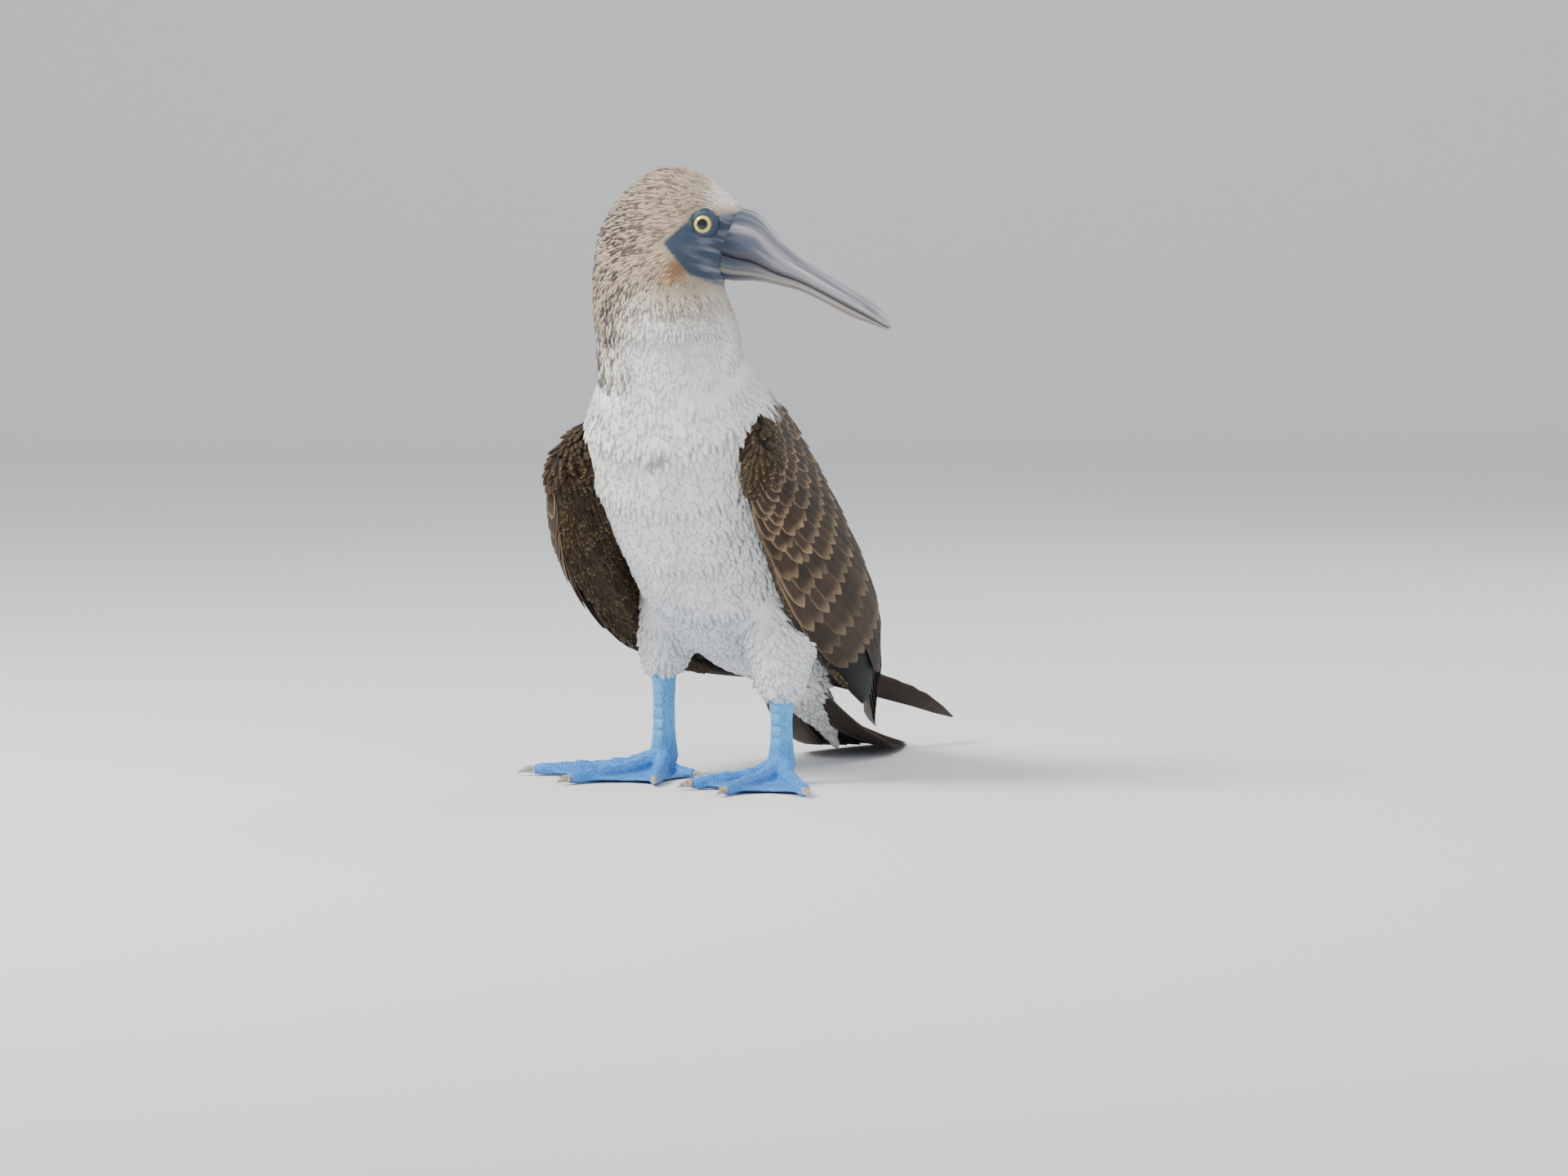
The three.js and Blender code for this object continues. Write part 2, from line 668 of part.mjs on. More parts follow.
function addNode(name, kind, solid) {
  const { vertProperties, triVerts } = largest(solid.simplify(MERGE_LENGTH)).getMesh();
  const geometry = new THREE.BufferGeometry();
  geometry.setAttribute("position", new THREE.BufferAttribute(vertProperties, 3));
  geometry.setIndex(new THREE.BufferAttribute(triVerts, 1));
  geometry.computeVertexNormals();
  const [color, roughness] = COLOURS[kind];
  const mesh = new THREE.Mesh(geometry, new THREE.MeshStandardMaterial({ color, roughness, metalness: 0 }));
  mesh.name = name;
  booby.add(mesh);
}

// The whole of the flesh is parted by thin cuts into torso, neck and head
const neckCut = slab(vec(0, -71, 246), vec(0, -0.4, 0.92));
const headCut = slab(vec(0, -82, 303), vec(0, 0, 1));
const [torso, neck, headBlank] = flesh(0).subtract(neckCut).subtract(headCut).decompose()
  .sort((a, b) => a.boundingBox().min[2] - b.boundingBox().min[2]);
const grown = flesh(GAP);
addNode("torso", "torso", torso);
addNode("neck", "neck", neck);
addNode("head", "head", headDetail(headBlank));
addNode("bill_upper", "bill_upper", largest(billUpper().subtract(grown)));
addNode("bill_lower", "bill_lower", largest(billLower().subtract(grown)));
let lastWing = null;
for (const [name, leg] of Object.entries(LEGS)) {
  addNode(`thigh_${name}`, "thigh", largest(loft(thighRings(leg, 0)).subtract(grown)));
  addNode(`tarsus_${name}`, "tarsus", tarsus(leg));
  addNode(`foot_${name}`, "foot", foot(leg));
  for (const toeName of Object.keys(leg.toes)) addNode(`claw_${name}_${toeName}`, "claw", claw(leg, toeName));
  addNode(`eye_${name}`, "eye", eye(-leg.side));
  let clear = wasm.Manifold.union(grown, loft(thighRings(leg, GAP)));
  if (lastWing) {
    const steps = [[0, 0, -2 * GAP], [0, 0, GAP], [GAP, 0, 0], [-GAP, 0, 0]];
    clear = wasm.Manifold.union([clear, ...steps.map((step) => lastWing.translate(step))]);
  }
  lastWing = wing(leg.side, clear);
  addNode(`wing_${name}`, "wing", lastWing);
}
addNode("tail", "tail", tail(grown));

// The origin is under the middle of the whole, on the floor
const box = new THREE.Box3().setFromObject(booby);
booby.position.set(-(box.min.x + box.max.x) / 2, -(box.min.y + box.max.y) / 2, -box.min.z);

export default booby;
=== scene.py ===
"""Looks of a standing blue footed booby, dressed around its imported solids. Metres, +Z up."""
import math

import bmesh
import bpy
import numpy as np
from mathutils import Matrix, Vector


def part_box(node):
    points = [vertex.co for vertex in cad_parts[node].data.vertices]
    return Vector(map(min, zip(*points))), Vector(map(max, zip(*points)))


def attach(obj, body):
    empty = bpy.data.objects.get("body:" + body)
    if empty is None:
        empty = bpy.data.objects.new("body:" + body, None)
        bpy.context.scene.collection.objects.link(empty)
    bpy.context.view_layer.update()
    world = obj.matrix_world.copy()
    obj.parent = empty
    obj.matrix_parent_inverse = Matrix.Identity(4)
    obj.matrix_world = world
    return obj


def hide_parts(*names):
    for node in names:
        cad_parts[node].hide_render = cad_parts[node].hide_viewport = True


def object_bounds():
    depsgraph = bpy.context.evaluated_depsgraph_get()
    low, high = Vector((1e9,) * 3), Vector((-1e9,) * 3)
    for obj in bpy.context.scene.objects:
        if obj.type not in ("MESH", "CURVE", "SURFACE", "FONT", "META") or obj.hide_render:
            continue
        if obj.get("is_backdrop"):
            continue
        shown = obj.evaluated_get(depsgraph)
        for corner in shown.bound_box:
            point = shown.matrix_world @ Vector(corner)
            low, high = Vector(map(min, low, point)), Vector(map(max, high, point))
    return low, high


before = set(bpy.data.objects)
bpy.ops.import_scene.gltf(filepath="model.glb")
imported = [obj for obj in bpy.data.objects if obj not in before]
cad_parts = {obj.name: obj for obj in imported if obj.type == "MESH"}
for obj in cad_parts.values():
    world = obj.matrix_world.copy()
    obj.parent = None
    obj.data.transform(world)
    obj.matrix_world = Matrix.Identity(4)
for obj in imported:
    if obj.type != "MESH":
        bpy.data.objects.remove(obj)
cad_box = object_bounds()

MM = 0.001
UP = np.array([0.0, 0.0, 1.0])
rng = np.random.default_rng(7)

# Frame of the turned head, from the two eyes
EYE_FORWARD = 26.5 * MM
NECK_Y = -82 * MM


def middle(node):
    low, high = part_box(node)
    return (np.array(low) + np.array(high)) / 2


eye_right, eye_left = middle("eye_right"), middle("eye_left")
eye_middle = (eye_right + eye_left) / 2
head_right = (eye_right - eye_left) / np.linalg.norm(eye_right - eye_left)
head_forward = np.array([-head_right[1], head_right[0], 0.0])
# Point on the floor between the feet, from which the sizes in this file are counted
foot_middle = eye_middle - head_forward * EYE_FORWARD - np.array([0, NECK_Y, 0])
foot_middle[2] = 0.0


def at(x, y, z):
    return foot_middle + np.array([x, y, z]) * MM


def head_point(forward, z, right):
    """Point by millimetres forward of the neck axis, height, and to the head's right."""
    return at(0, NECK_Y / MM, z) + head_forward * forward * MM + head_right * right * MM


def unit(v):
    return v / np.maximum(np.linalg.norm(v, axis=-1, keepdims=True), 1e-12)


def ease(x, low, high):
    """0 below low, 1 above high, smooth between."""
    t = np.clip((x - low) / (high - low), 0, 1)
    return t * t * (3 - 2 * t)


# Camera at the photograph's angle
CAMERA_AZIMUTH = math.radians(25)
CAMERA_TILT = math.radians(4)
CAMERA_DISTANCE = 4.0
FRAME_WIDTH = 0.979
SENSOR_WIDTH = 36.0
AIM_RIGHT, AIM_UP = 37.2, 119.9


def place_camera():
    data = bpy.data.cameras.new("camera")
    data.sensor_width = SENSOR_WIDTH
    data.lens = SENSOR_WIDTH * CAMERA_DISTANCE / FRAME_WIDTH
    data.dof.use_dof = False
    camera = bpy.data.objects.new("camera", data)
    bpy.context.collection.objects.link(camera)
    right = np.array([math.cos(CAMERA_AZIMUTH), math.sin(CAMERA_AZIMUTH), 0])
    ahead = np.array([-right[1] * math.cos(CAMERA_TILT), right[0] * math.cos(CAMERA_TILT),
                      -math.sin(CAMERA_TILT)])
    aim = foot_middle + right * AIM_RIGHT * MM + UP * AIM_UP * MM
    camera.location = aim - ahead * CAMERA_DISTANCE
    camera.rotation_euler = Vector(ahead).to_track_quat("-Z", "Y").to_euler()
    bpy.context.scene.camera = camera


def place_light(name, size, power, azimuth, height, distance, colour):
    data = bpy.data.lights.new(name, "AREA")
    data.size, data.energy, data.color = size, power, colour
    lamp = bpy.data.objects.new(name, data)
    bpy.context.collection.objects.link(lamp)
    a = math.radians(azimuth)
    lamp.location = (distance * math.sin(a), -distance * math.cos(a), height)
    target = Vector((0, 0, 0.18))
    lamp.rotation_euler = (target - lamp.location).to_track_quat("-Z", "Y").to_euler()


# Lights: size, power, azimuth in degrees, height, distance, colour
LIGHTS = {
    "key": (0.9, 70, -40, 1.7, 1.6, (1.0, 0.965, 0.91)),
    "fill": (2.2, 16, 75, 1.1, 2.2, (0.86, 0.92, 1.0)),
    "rim": (1.2, 18, 165, 1.6, 1.8, (1.0, 0.98, 0.95)),
}
SKY = (0.86, 0.89, 0.92, 1)
SKY_STRENGTH = 0.8

# Floor sheet, curved up to a wall behind the bird, in metres
FLOOR_HALF = 5.0
FLOOR_BEND = 1.0
FLOOR_BEND_STEPS = 10
WALL_HEIGHT = 3.0
FLOOR_DROP = 0.0004
FLOOR_GREY = (0.82, 0.83, 0.84, 1)


def place_studio():
    for name, values in LIGHTS.items():
        place_light(name, *values)
    world = bpy.data.worlds.new("studio")
    bpy.context.scene.world = world
    world.use_nodes = True
    background = world.node_tree.nodes["Background"]
    background.inputs["Color"].default_value = SKY
    background.inputs["Strength"].default_value = SKY_STRENGTH
    rows = [(-FLOOR_HALF, 0.0)]
    for i in range(FLOOR_BEND_STEPS + 1):
        a = i / FLOOR_BEND_STEPS * math.pi / 2
        rows.append((FLOOR_HALF - FLOOR_BEND + FLOOR_BEND * math.sin(a),
                     FLOOR_BEND - FLOOR_BEND * math.cos(a)))
    rows.append((FLOOR_HALF, WALL_HEIGHT))
    verts = [(x * FLOOR_HALF, y, z - FLOOR_DROP) for y, z in rows for x in (-1, 1)]
    faces = [(2 * i, 2 * i + 1, 2 * i + 3, 2 * i + 2) for i in range(len(rows) - 1)]
    data = bpy.data.meshes.new("floor")
    data.from_pydata(verts, [], faces)
    for polygon in data.polygons:
        polygon.use_smooth = True
    floor = bpy.data.objects.new("floor", data)
    floor.rotation_euler = (0, 0, CAMERA_AZIMUTH)
    bpy.context.collection.objects.link(floor)
    material, shader, _ = new_material("pale_floor")
    shader.inputs["Base Color"].default_value = FLOOR_GREY
    shader.inputs["Roughness"].default_value = 0.85
    data.materials.append(material)
    floor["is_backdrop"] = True


# Material helpers
def new_material(name):
    material = bpy.data.materials.new(name)
    material.use_nodes = True
    return material, material.node_tree.nodes["Principled BSDF"], material.node_tree


def node(tree, kind, inputs=None, **settings):
    made = tree.nodes.new(kind)
    for key, value in settings.items():
        setattr(made, key, value)
    for key, value in (inputs or {}).items():
        if hasattr(value, "links") or isinstance(value, bpy.types.NodeSocket):
            tree.links.new(value, made.inputs[key])
        else:
            made.inputs[key].default_value = value
    return made


def maths(tree, operation, a, b=0.0, clamp=False):
    made = node(tree, "ShaderNodeMath", {0: a, 1: b}, operation=operation, use_clamp=clamp)
    return made.outputs[0]


def invert(tree, value):
    return maths(tree, "SUBTRACT", 1.0, value)


def times(tree, a, b):
    return maths(tree, "MULTIPLY", a, b)


def noise(tree, place, scale, detail):
    made = node(tree, "ShaderNodeTexNoise", {"Vector": place, "Scale": scale, "Detail": detail})
    return made.outputs["Fac"]


def vector_maths(tree, operation, a, b):
    return node(tree, "ShaderNodeVectorMath", {0: a, 1: b}, operation=operation).outputs


def object_place(tree):
    return node(tree, "ShaderNodeTexCoord").outputs["Object"]


def height_of(tree, place):
    return node(tree, "ShaderNodeSeparateXYZ", {0: place}).outputs[2]


def blend_colour(tree, share, a, b):
    mix = tree.nodes.new("ShaderNodeMix")
    mix.data_type = "RGBA"
    for index, value in ((0, share), (6, a), (7, b)):
        if isinstance(value, bpy.types.NodeSocket):
            tree.links.new(value, mix.inputs[index])
        else:
            mix.inputs[index].default_value = value
    return mix.outputs[2]


def ramp_between(tree, value, low, high):
    made = node(tree, "ShaderNodeMapRange", {"Value": value, "From Min": low, "From Max": high},
                interpolation_type="SMOOTHSTEP")
    return made.outputs["Result"]


def grain_group():
    """Soft mottling and fine grain, as a value around 1 and a height."""
    group = bpy.data.node_groups.new("mottle_and_grain", "ShaderNodeTree")
    for name, value in (("Mottle Scale", 40.0), ("Grain Scale", 900.0), ("Amount", 0.2)):
        socket = group.interface.new_socket(name, in_out="INPUT", socket_type="NodeSocketFloat")
        socket.default_value = value
    group.interface.new_socket("Shade", in_out="OUTPUT", socket_type="NodeSocketFloat")
    group.interface.new_socket("Height", in_out="OUTPUT", socket_type="NodeSocketFloat")
    entry = group.nodes.new("NodeGroupInput")
    leave = group.nodes.new("NodeGroupOutput")
    place = object_place(group)
    centred = maths(group, "SUBTRACT", noise(group, place, entry.outputs[0], 4.0), 0.5)
    scaled = times(group, centred, entry.outputs[2])
    shade = maths(group, "ADD", times(group, scaled, 2.0), 1.0)
    group.links.new(shade, leave.inputs[0])
    group.links.new(noise(group, place, entry.outputs[1], 2.0), leave.inputs[1])
    return group


def vane_group():
    """Marks of one feather from its own map: shaft, edge, tip, barbs and middle stripe."""
    group = bpy.data.node_groups.new("feather_marks", "ShaderNodeTree")
    for name in ("Shaft", "Edge", "Tip", "Barbs", "Stripe"):
        group.interface.new_socket(name, in_out="OUTPUT", socket_type="NodeSocketFloat")
    leave = group.nodes.new("NodeGroupOutput")
    place = node(group, "ShaderNodeUVMap", uv_map="Vane").outputs[0]
    parts = node(group, "ShaderNodeSeparateXYZ", {0: place})
    off = maths(group, "ABSOLUTE", maths(group, "SUBTRACT", parts.outputs[0], 0.5))
    shaft = invert(group, ramp_between(group, off, 0.02, 0.14))
    edge = ramp_between(group, off, 0.34, 0.5)
    tip = ramp_between(group, parts.outputs[1], 0.80, 1.0)
    slant = maths(group, "ADD", parts.outputs[1], times(group, off, -0.5))
    barbs = maths(group, "SINE", times(group, slant, 260.0))
    stripe = invert(group, ramp_between(group, off, 0.22, 0.42))
    for index, value in enumerate((shaft, edge, tip, barbs, stripe)):
        group.links.new(value, leave.inputs[index])
    return group


def use_group(tree, group, **values):
    made = tree.nodes.new("ShaderNodeGroup")
    made.node_tree = group
    for key, value in values.items():
        made.inputs[key.replace("_", " ")].default_value = value
    return made


def shaded(tree, colour, shade):
    grey = tree.nodes.new("ShaderNodeCombineColor")
    for index in range(3):
        tree.links.new(shade, grey.inputs[index])
    mix = tree.nodes.new("ShaderNodeMix")
    mix.data_type, mix.blend_type = "RGBA", "MULTIPLY"
    mix.inputs[0].default_value = 1.0
    tree.links.new(colour, mix.inputs[6])
    tree.links.new(grey.outputs[0], mix.inputs[7])
    return mix.outputs[2]


def bump(tree, shader, height, strength, distance):
    inputs = {"Height": height, "Strength": strength, "Distance": distance}
    made = node(tree, "ShaderNodeBump", inputs)
    tree.links.new(made.outputs["Normal"], shader.inputs["Normal"])


WHITE = (0.87, 0.86, 0.84, 1)
BUFF = (0.50, 0.385, 0.265, 1)
RUSTY = (0.52, 0.27, 0.10, 1)
# Pale painted highlight on the bare face near the bill
PAINTED_FACE_HIGHLIGHT = (0.22, 0.23, 0.26, 1)
# Blue-grey of the painted shade on the lower belly
PAINTED_BELLY_SHADE = (0.60, 0.645, 0.70, 1)
# Painted shade in the gap along the mouth line of the bill
MOUTH_SHADE = (0.03, 0.028, 0.045, 1)
FACE_SLOPE = 0.3
# Heights in metres over which the painted belly shade fades out upwards
BELLY_SHADE_HEIGHTS = (0.11, 0.22)
STREAK = (0.050, 0.030, 0.024, 1)
BROWN = (0.045, 0.026, 0.016, 1)
TAN = (0.23, 0.15, 0.09, 1)
SLATE = (0.022, 0.043, 0.076, 1)


def face_colour(tree):
    """Slate skin with pale lines of painted highlight that run from the corner of the mouth to the
    bill.
    """
    place = object_place(tree)
    offset = float(head_point(0, 0, 0) @ head_forward)
    along = vector_maths(tree, "DOT_PRODUCT", place, tuple(head_forward))["Value"]
    forward = maths(tree, "SUBTRACT", along, offset)
    drop = maths(tree, "ADD", height_of(tree, place), times(tree, forward, FACE_SLOPE))
    stretched = {0: times(tree, forward, 45.0), 1: times(tree, drop, 210.0)}
    flat = node(tree, "ShaderNodeCombineXYZ", stretched).outputs[0]
    share = ramp_between(tree, noise(tree, flat, 1.0, 3.0), 0.42, 0.75)
    near_bill = ramp_between(tree, forward, 0.008, 0.034)
    return blend_colour(tree, times(tree, share, near_bill), SLATE, PAINTED_FACE_HIGHLIGHT)


def plumage_material(name, on_skin):
    """Body feathers by their marks: buff in red, bare skin in green, brown in blue."""
    material, shader, tree = new_material(name)
    marks = node(tree, "ShaderNodeAttribute", attribute_name="marks")
    parts = node(tree, "ShaderNodeSeparateColor", {0: marks.outputs["Color"]})
    buff, bare, brown = parts.outputs[0], parts.outputs[1], parts.outputs[2]
    grain = use_group(tree, GRAIN, Mottle_Scale=55.0, Grain_Scale=1500.0, Amount=0.16)
    colour = blend_colour(tree, maths(tree, "MINIMUM", buff, 1.0), WHITE, BUFF)
    place = object_place(tree)
    # Painted shade: blue-grey clouds over the lower belly, fading out upwards
    low = invert(tree, ramp_between(tree, height_of(tree, place), *BELLY_SHADE_HEIGHTS))
    belly_shade = times(tree, ramp_between(tree, noise(tree, place, 34.0, 3.0), 0.42, 0.66), low)
    colour = blend_colour(tree, times(tree, belly_shade, 0.55), colour, PAINTED_BELLY_SHADE)
    rusty = maths(tree, "SUBTRACT", buff, 1.0, clamp=True)
    colour = blend_colour(tree, rusty, colour, RUSTY)
    if on_skin:
        colour = blend_colour(tree, times(tree, buff, 0.35), colour, STREAK)
        colour = blend_colour(tree, brown, colour, BROWN)
        colour = blend_colour(tree, bare, colour, face_colour(tree))
        height = grain.outputs["Height"]
    else:
        feather = use_group(tree, FEATHER)
        streak = times(tree, feather.outputs["Stripe"], marks.outputs["Alpha"])
        colour = blend_colour(tree, streak, colour, STREAK)
        dark = blend_colour(tree, times(tree, feather.outputs["Tip"], 0.55), BROWN, TAN)
        colour = blend_colour(tree, brown, colour, dark)
        height = feather.outputs["Barbs"]
    tree.links.new(shaded(tree, colour, grain.outputs["Shade"]), shader.inputs["Base Color"])
    shader.inputs["Roughness"].default_value = 0.78
    shader.inputs["Sheen Weight"].default_value = 0.25
    shader.inputs["Sheen Roughness"].default_value = 0.5
    bump(tree, shader, height, 0.25, 0.0003)
    return material


def flight_material(name, base, edge, edge_share, tip_share):
    """Large feathers: dark vane, paler shaft and a worn pale edge."""
    material, shader, tree = new_material(name)
    marks = node(tree, "ShaderNodeAttribute", attribute_name="marks")
    parts = node(tree, "ShaderNodeSeparateColor", {0: marks.outputs["Color"]})
    feather = use_group(tree, FEATHER)
    grain = use_group(tree, GRAIN, Mottle_Scale=120.0, Grain_Scale=1800.0, Amount=0.3)
    rim = times(tree, feather.outputs["Edge"], edge_share)
    end = times(tree, feather.outputs["Tip"], tip_share)
    worn = times(tree, maths(tree, "MAXIMUM", rim, end), parts.outputs[0])
    colour = blend_colour(tree, worn, base, edge)
    colour = blend_colour(tree, times(tree, feather.outputs["Shaft"], 0.25), colour, STREAK)
    shade = times(tree, grain.outputs["Shade"], parts.outputs[1])
    tree.links.new(shaded(tree, colour, shade), shader.inputs["Base Color"])
    shader.inputs["Roughness"].default_value = 0.72
    shader.inputs["Specular IOR Level"].default_value = 0.3
    bump(tree, shader, feather.outputs["Barbs"], 0.3, 0.0002)
    return material


def claw_material(name, dark, light):
    """Pale horn with darker clouds."""
    material, shader, tree = new_material(name)
    cloud = noise(tree, object_place(tree), 500.0, 4.0)
    tone = ramp_between(tree, cloud, 0.35, 0.65)
    tree.links.new(blend_colour(tree, tone, dark, light), shader.inputs["Base Color"])
    shader.inputs["Roughness"].default_value = 0.38
    bump(tree, shader, cloud, 0.2, 0.0003)
    return material


def horn_material(name, dark, light, pale):
    """Bill: lengthwise streaks whose pale side is partly painted highlight, slate at the base,
    paler to the tip, painted shade along the mouth.
    """
    material, shader, tree = new_material(name)
    place = node(tree, "ShaderNodeUVMap", uv_map="Vane").outputs[0]
    parts = node(tree, "ShaderNodeSeparateXYZ", {0: place})
    stretched = vector_maths(tree, "MULTIPLY", place, (9.0, 1.6, 1.0))[0]
    streaks = noise(tree, stretched, 1.0, 5.0)
    # Pale side of the lengthwise streaks: partly the horn's own colour, partly painted highlight
    tone = ramp_between(tree, streaks, 0.36, 0.68)
    colour = blend_colour(tree, tone, dark, light)
    end = ramp_between(tree, parts.outputs[1], 0.72, 1.0)
    colour = blend_colour(tree, times(tree, end, 0.75), colour, pale)
    base = invert(tree, ramp_between(tree, parts.outputs[1], 0.02, 0.38))
    dull = invert(tree, times(tree, tone, 0.6))
    colour = blend_colour(tree, times(tree, base, dull), colour, SLATE)
    # Painted shade along the mouth line, on the mouth edges of each half of the bill
    off = maths(tree, "ABSOLUTE", maths(tree, "SUBTRACT", parts.outputs[0], 0.5))
    mouth_shade = ramp_between(tree, off, 0.44, 0.5)
    colour = blend_colour(tree, times(tree, mouth_shade, 0.8), colour, MOUTH_SHADE)
    tree.links.new(colour, shader.inputs["Base Color"])
    rough = maths(tree, "ADD", times(tree, streaks, 0.2), 0.3)
    tree.links.new(rough, shader.inputs["Roughness"])
    bump(tree, shader, streaks, 0.35, 0.0006)
    return material


WEB_DEEP = (0.035, 0.18, 0.52, 1)
WEB_BRIGHT = (0.07, 0.32, 0.80, 1)
SHANK_DEEP = (0.07, 0.33, 0.66, 1)
SHANK_BRIGHT = (0.13, 0.50, 0.90, 1)
WEB_HEIGHTS = (0.008, 0.034)


def leg_material(name):
    """Scaled skin, sky blue on the shank and deeper blue on the webs."""
    material, shader, tree = new_material(name)
    place = object_place(tree)
    cells = node(tree, "ShaderNodeTexVoronoi", {"Vector": place, "Scale": 560.0},
                 feature="DISTANCE_TO_EDGE")
    plate = ramp_between(tree, cells.outputs["Distance"], 0.02, 0.22)
    grain = use_group(tree, GRAIN, Mottle_Scale=70.0, Grain_Scale=1600.0, Amount=0.25)
    high = ramp_between(tree, height_of(tree, place), *WEB_HEIGHTS)
    deep = blend_colour(tree, high, WEB_DEEP, SHANK_DEEP)
    bright = blend_colour(tree, high, WEB_BRIGHT, SHANK_BRIGHT)
    colour = blend_colour(tree, plate, deep, bright)
    tree.links.new(shaded(tree, colour, grain.outputs["Shade"]), shader.inputs["Base Color"])
    rough = maths(tree, "SUBTRACT", 0.62, times(tree, plate, 0.16))
    tree.links.new(rough, shader.inputs["Roughness"])
    bump(tree, shader, plate, 0.4, 0.0005)
    return material


IRIS_DARK = (0.42, 0.37, 0.05, 1)
IRIS_LIGHT = (0.80, 0.74, 0.20, 1)
EYE_RIM = (0.03, 0.04, 0.06, 1)
PUPIL = (0.004, 0.004, 0.005, 1)


def eye_material(name, centre, axis):
    """Yellow iris round a black pupil, by the angle from the eye's axis."""
    material, shader, tree = new_material(name)
    place = object_place(tree)
    arm = vector_maths(tree, "SUBTRACT", place, tuple(centre))[0]
    ray = node(tree, "ShaderNodeVectorMath", {0: arm}, operation="NORMALIZE").outputs[0]
    facing = vector_maths(tree, "DOT_PRODUCT", ray, tuple(axis))["Value"]
    iris = blend_colour(tree, noise(tree, place, 1400.0, 3.0), IRIS_DARK, IRIS_LIGHT)
    rim = invert(tree, ramp_between(tree, facing, 0.72, 0.75))
    colour = blend_colour(tree, rim, iris, EYE_RIM)
    colour = blend_colour(tree, ramp_between(tree, facing, 0.902, 0.914), colour, PUPIL)
    tree.links.new(colour, shader.inputs["Base Color"])
    shader.inputs["Roughness"].default_value = 0.08
    shader.inputs["Coat Weight"].default_value = 0.3
    shader.inputs["Coat Roughness"].default_value = 0.02
    return material


def bare_skin_material(name):
    material, shader, tree = new_material(name)
    grain = use_group(tree, GRAIN, Mottle_Scale=160.0, Grain_Scale=2600.0, Amount=0.35)
    base = node(tree, "ShaderNodeRGB").outputs[0]
    base.default_value = SLATE
    tree.links.new(shaded(tree, base, grain.outputs["Shade"]), shader.inputs["Base Color"])
    shader.inputs["Roughness"].default_value = 0.5
    bump(tree, shader, grain.outputs["Height"], 0.4, 0.0004)
    return material


# Mesh helpers
def settle(name, data, slot):
    """The mesh as a still piece of the bird, shaded smooth."""
    data.polygons.foreach_set("use_smooth", np.ones(len(data.polygons), dtype=bool))
    piece = bpy.data.objects.new(name, data)
    bpy.context.collection.objects.link(piece)
    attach(piece, "root")
    return piece


def new_piece(name, verts, faces, material, slot):
    data = bpy.data.meshes.new(name)
    data.from_pydata([tuple(v) for v in verts], [], faces)
    data.materials.append(material)
    return settle(name, data, slot)


def tube_faces(rings, ring):
    """Walls and flat ends of a tube whose rings of points follow each other."""
    faces = []
    for i in range(rings - 1):
        for j in range(ring):
            a, b = i * ring + j, i * ring + (j + 1) % ring
            faces.append((a, b, b + ring, a + ring))
    faces.append(tuple(range(ring))[::-1])
    faces.append(tuple((rings - 1) * ring + j for j in range(ring)))
    return faces


def turn_faces_out(piece):
    mesh = bmesh.new()
    mesh.from_mesh(piece.data)
    bmesh.ops.recalc_face_normals(mesh, faces=mesh.faces)
    mesh.to_mesh(piece.data)
    mesh.free()


def apply_modifier(piece, kind, **settings):
    modifier = piece.modifiers.new(kind, kind)
    for key, value in settings.items():
        setattr(modifier, key, value)
    graph = bpy.context.evaluated_depsgraph_get()
    mesh = bpy.data.meshes.new_from_object(piece.evaluated_get(graph))
    piece.modifiers.clear()
    old = piece.data
    piece.data = mesh
    bpy.data.meshes.remove(old)


MERGE_LENGTH = 1e-6


def smooth_copy(name, nodes, material, voxel, rounds, shrink=0.0):
    """One even skin in place of the faceted solids of the nodes."""
    mesh = bmesh.new()
    for part in nodes:
        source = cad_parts[part]
        source = bpy.data.objects[source] if isinstance(source, str) else source
        copy = source.data.copy()
        copy.transform(source.matrix_world)
        mesh.from_mesh(copy)
        bpy.data.meshes.remove(copy)
    bmesh.ops.remove_doubles(mesh, verts=mesh.verts, dist=MERGE_LENGTH)
    data = bpy.data.meshes.new(name)
    mesh.to_mesh(data)
    mesh.free()
    data.materials.clear()
    data.materials.append(material)
    piece = bpy.data.objects.new(name, data)
    bpy.context.collection.objects.link(piece)
    apply_modifier(piece, "REMESH", mode="VOXEL", voxel_size=voxel, use_smooth_shade=True)
    apply_modifier(piece, "SMOOTH", factor=0.5, iterations=rounds)
    if shrink:
        apply_modifier(piece, "DISPLACE", strength=-shrink, mid_level=0.0)
    if not piece.data.materials:
        piece.data.materials.append(material)
    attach(piece, "root")
    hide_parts(*nodes)
    return piece


def write_map(data, name, values):
    layer = data.uv_layers.new(name=name)
    loops = np.empty(len(data.loops), dtype=np.int32)
    data.loops.foreach_get("vertex_index", loops)
    layer.data.foreach_set("uv", values[loops].astype(np.float32).ravel())


def write_marks(data, values):
    layer = data.color_attributes.new("marks", "FLOAT_COLOR", "POINT")
    layer.data.foreach_set("color", values.astype(np.float32).ravel())


# Direction of the middle of the white throat, between breast and bill
THROAT_TURN = math.radians(45)
WHITE_THROAT = np.array([math.sin(THROAT_TURN), -math.cos(THROAT_TURN), 0.0])

# Heights in millimetres between which each marking sets in
BUFF_HEIGHTS = (236, 304)
STREAK_HEIGHTS = (226, 268)
THROAT_HEIGHTS = (284, 320)
FOREHEAD = ((22, 42), (352, 362))
MANTLE_HEIGHTS = ((84, 100), (238, 256))

# Bare face: lower and upper edge by millimetres forward of the neck axis
FACE_LOW = ((3, 19, 33.5, 56), (337, 317, 311, 306))
FACE_HIGH = ((3, 17, 25.7, 34, 56), (337, 349.5, 356.7, 353.6, 355.6))
EYE_HEIGHT = 348
BARE_RADII = (8, 10)

# Rusty tinge under the corner of the mouth: forward, height, radius
RUSTY_PATCH = (11, 320, 9)


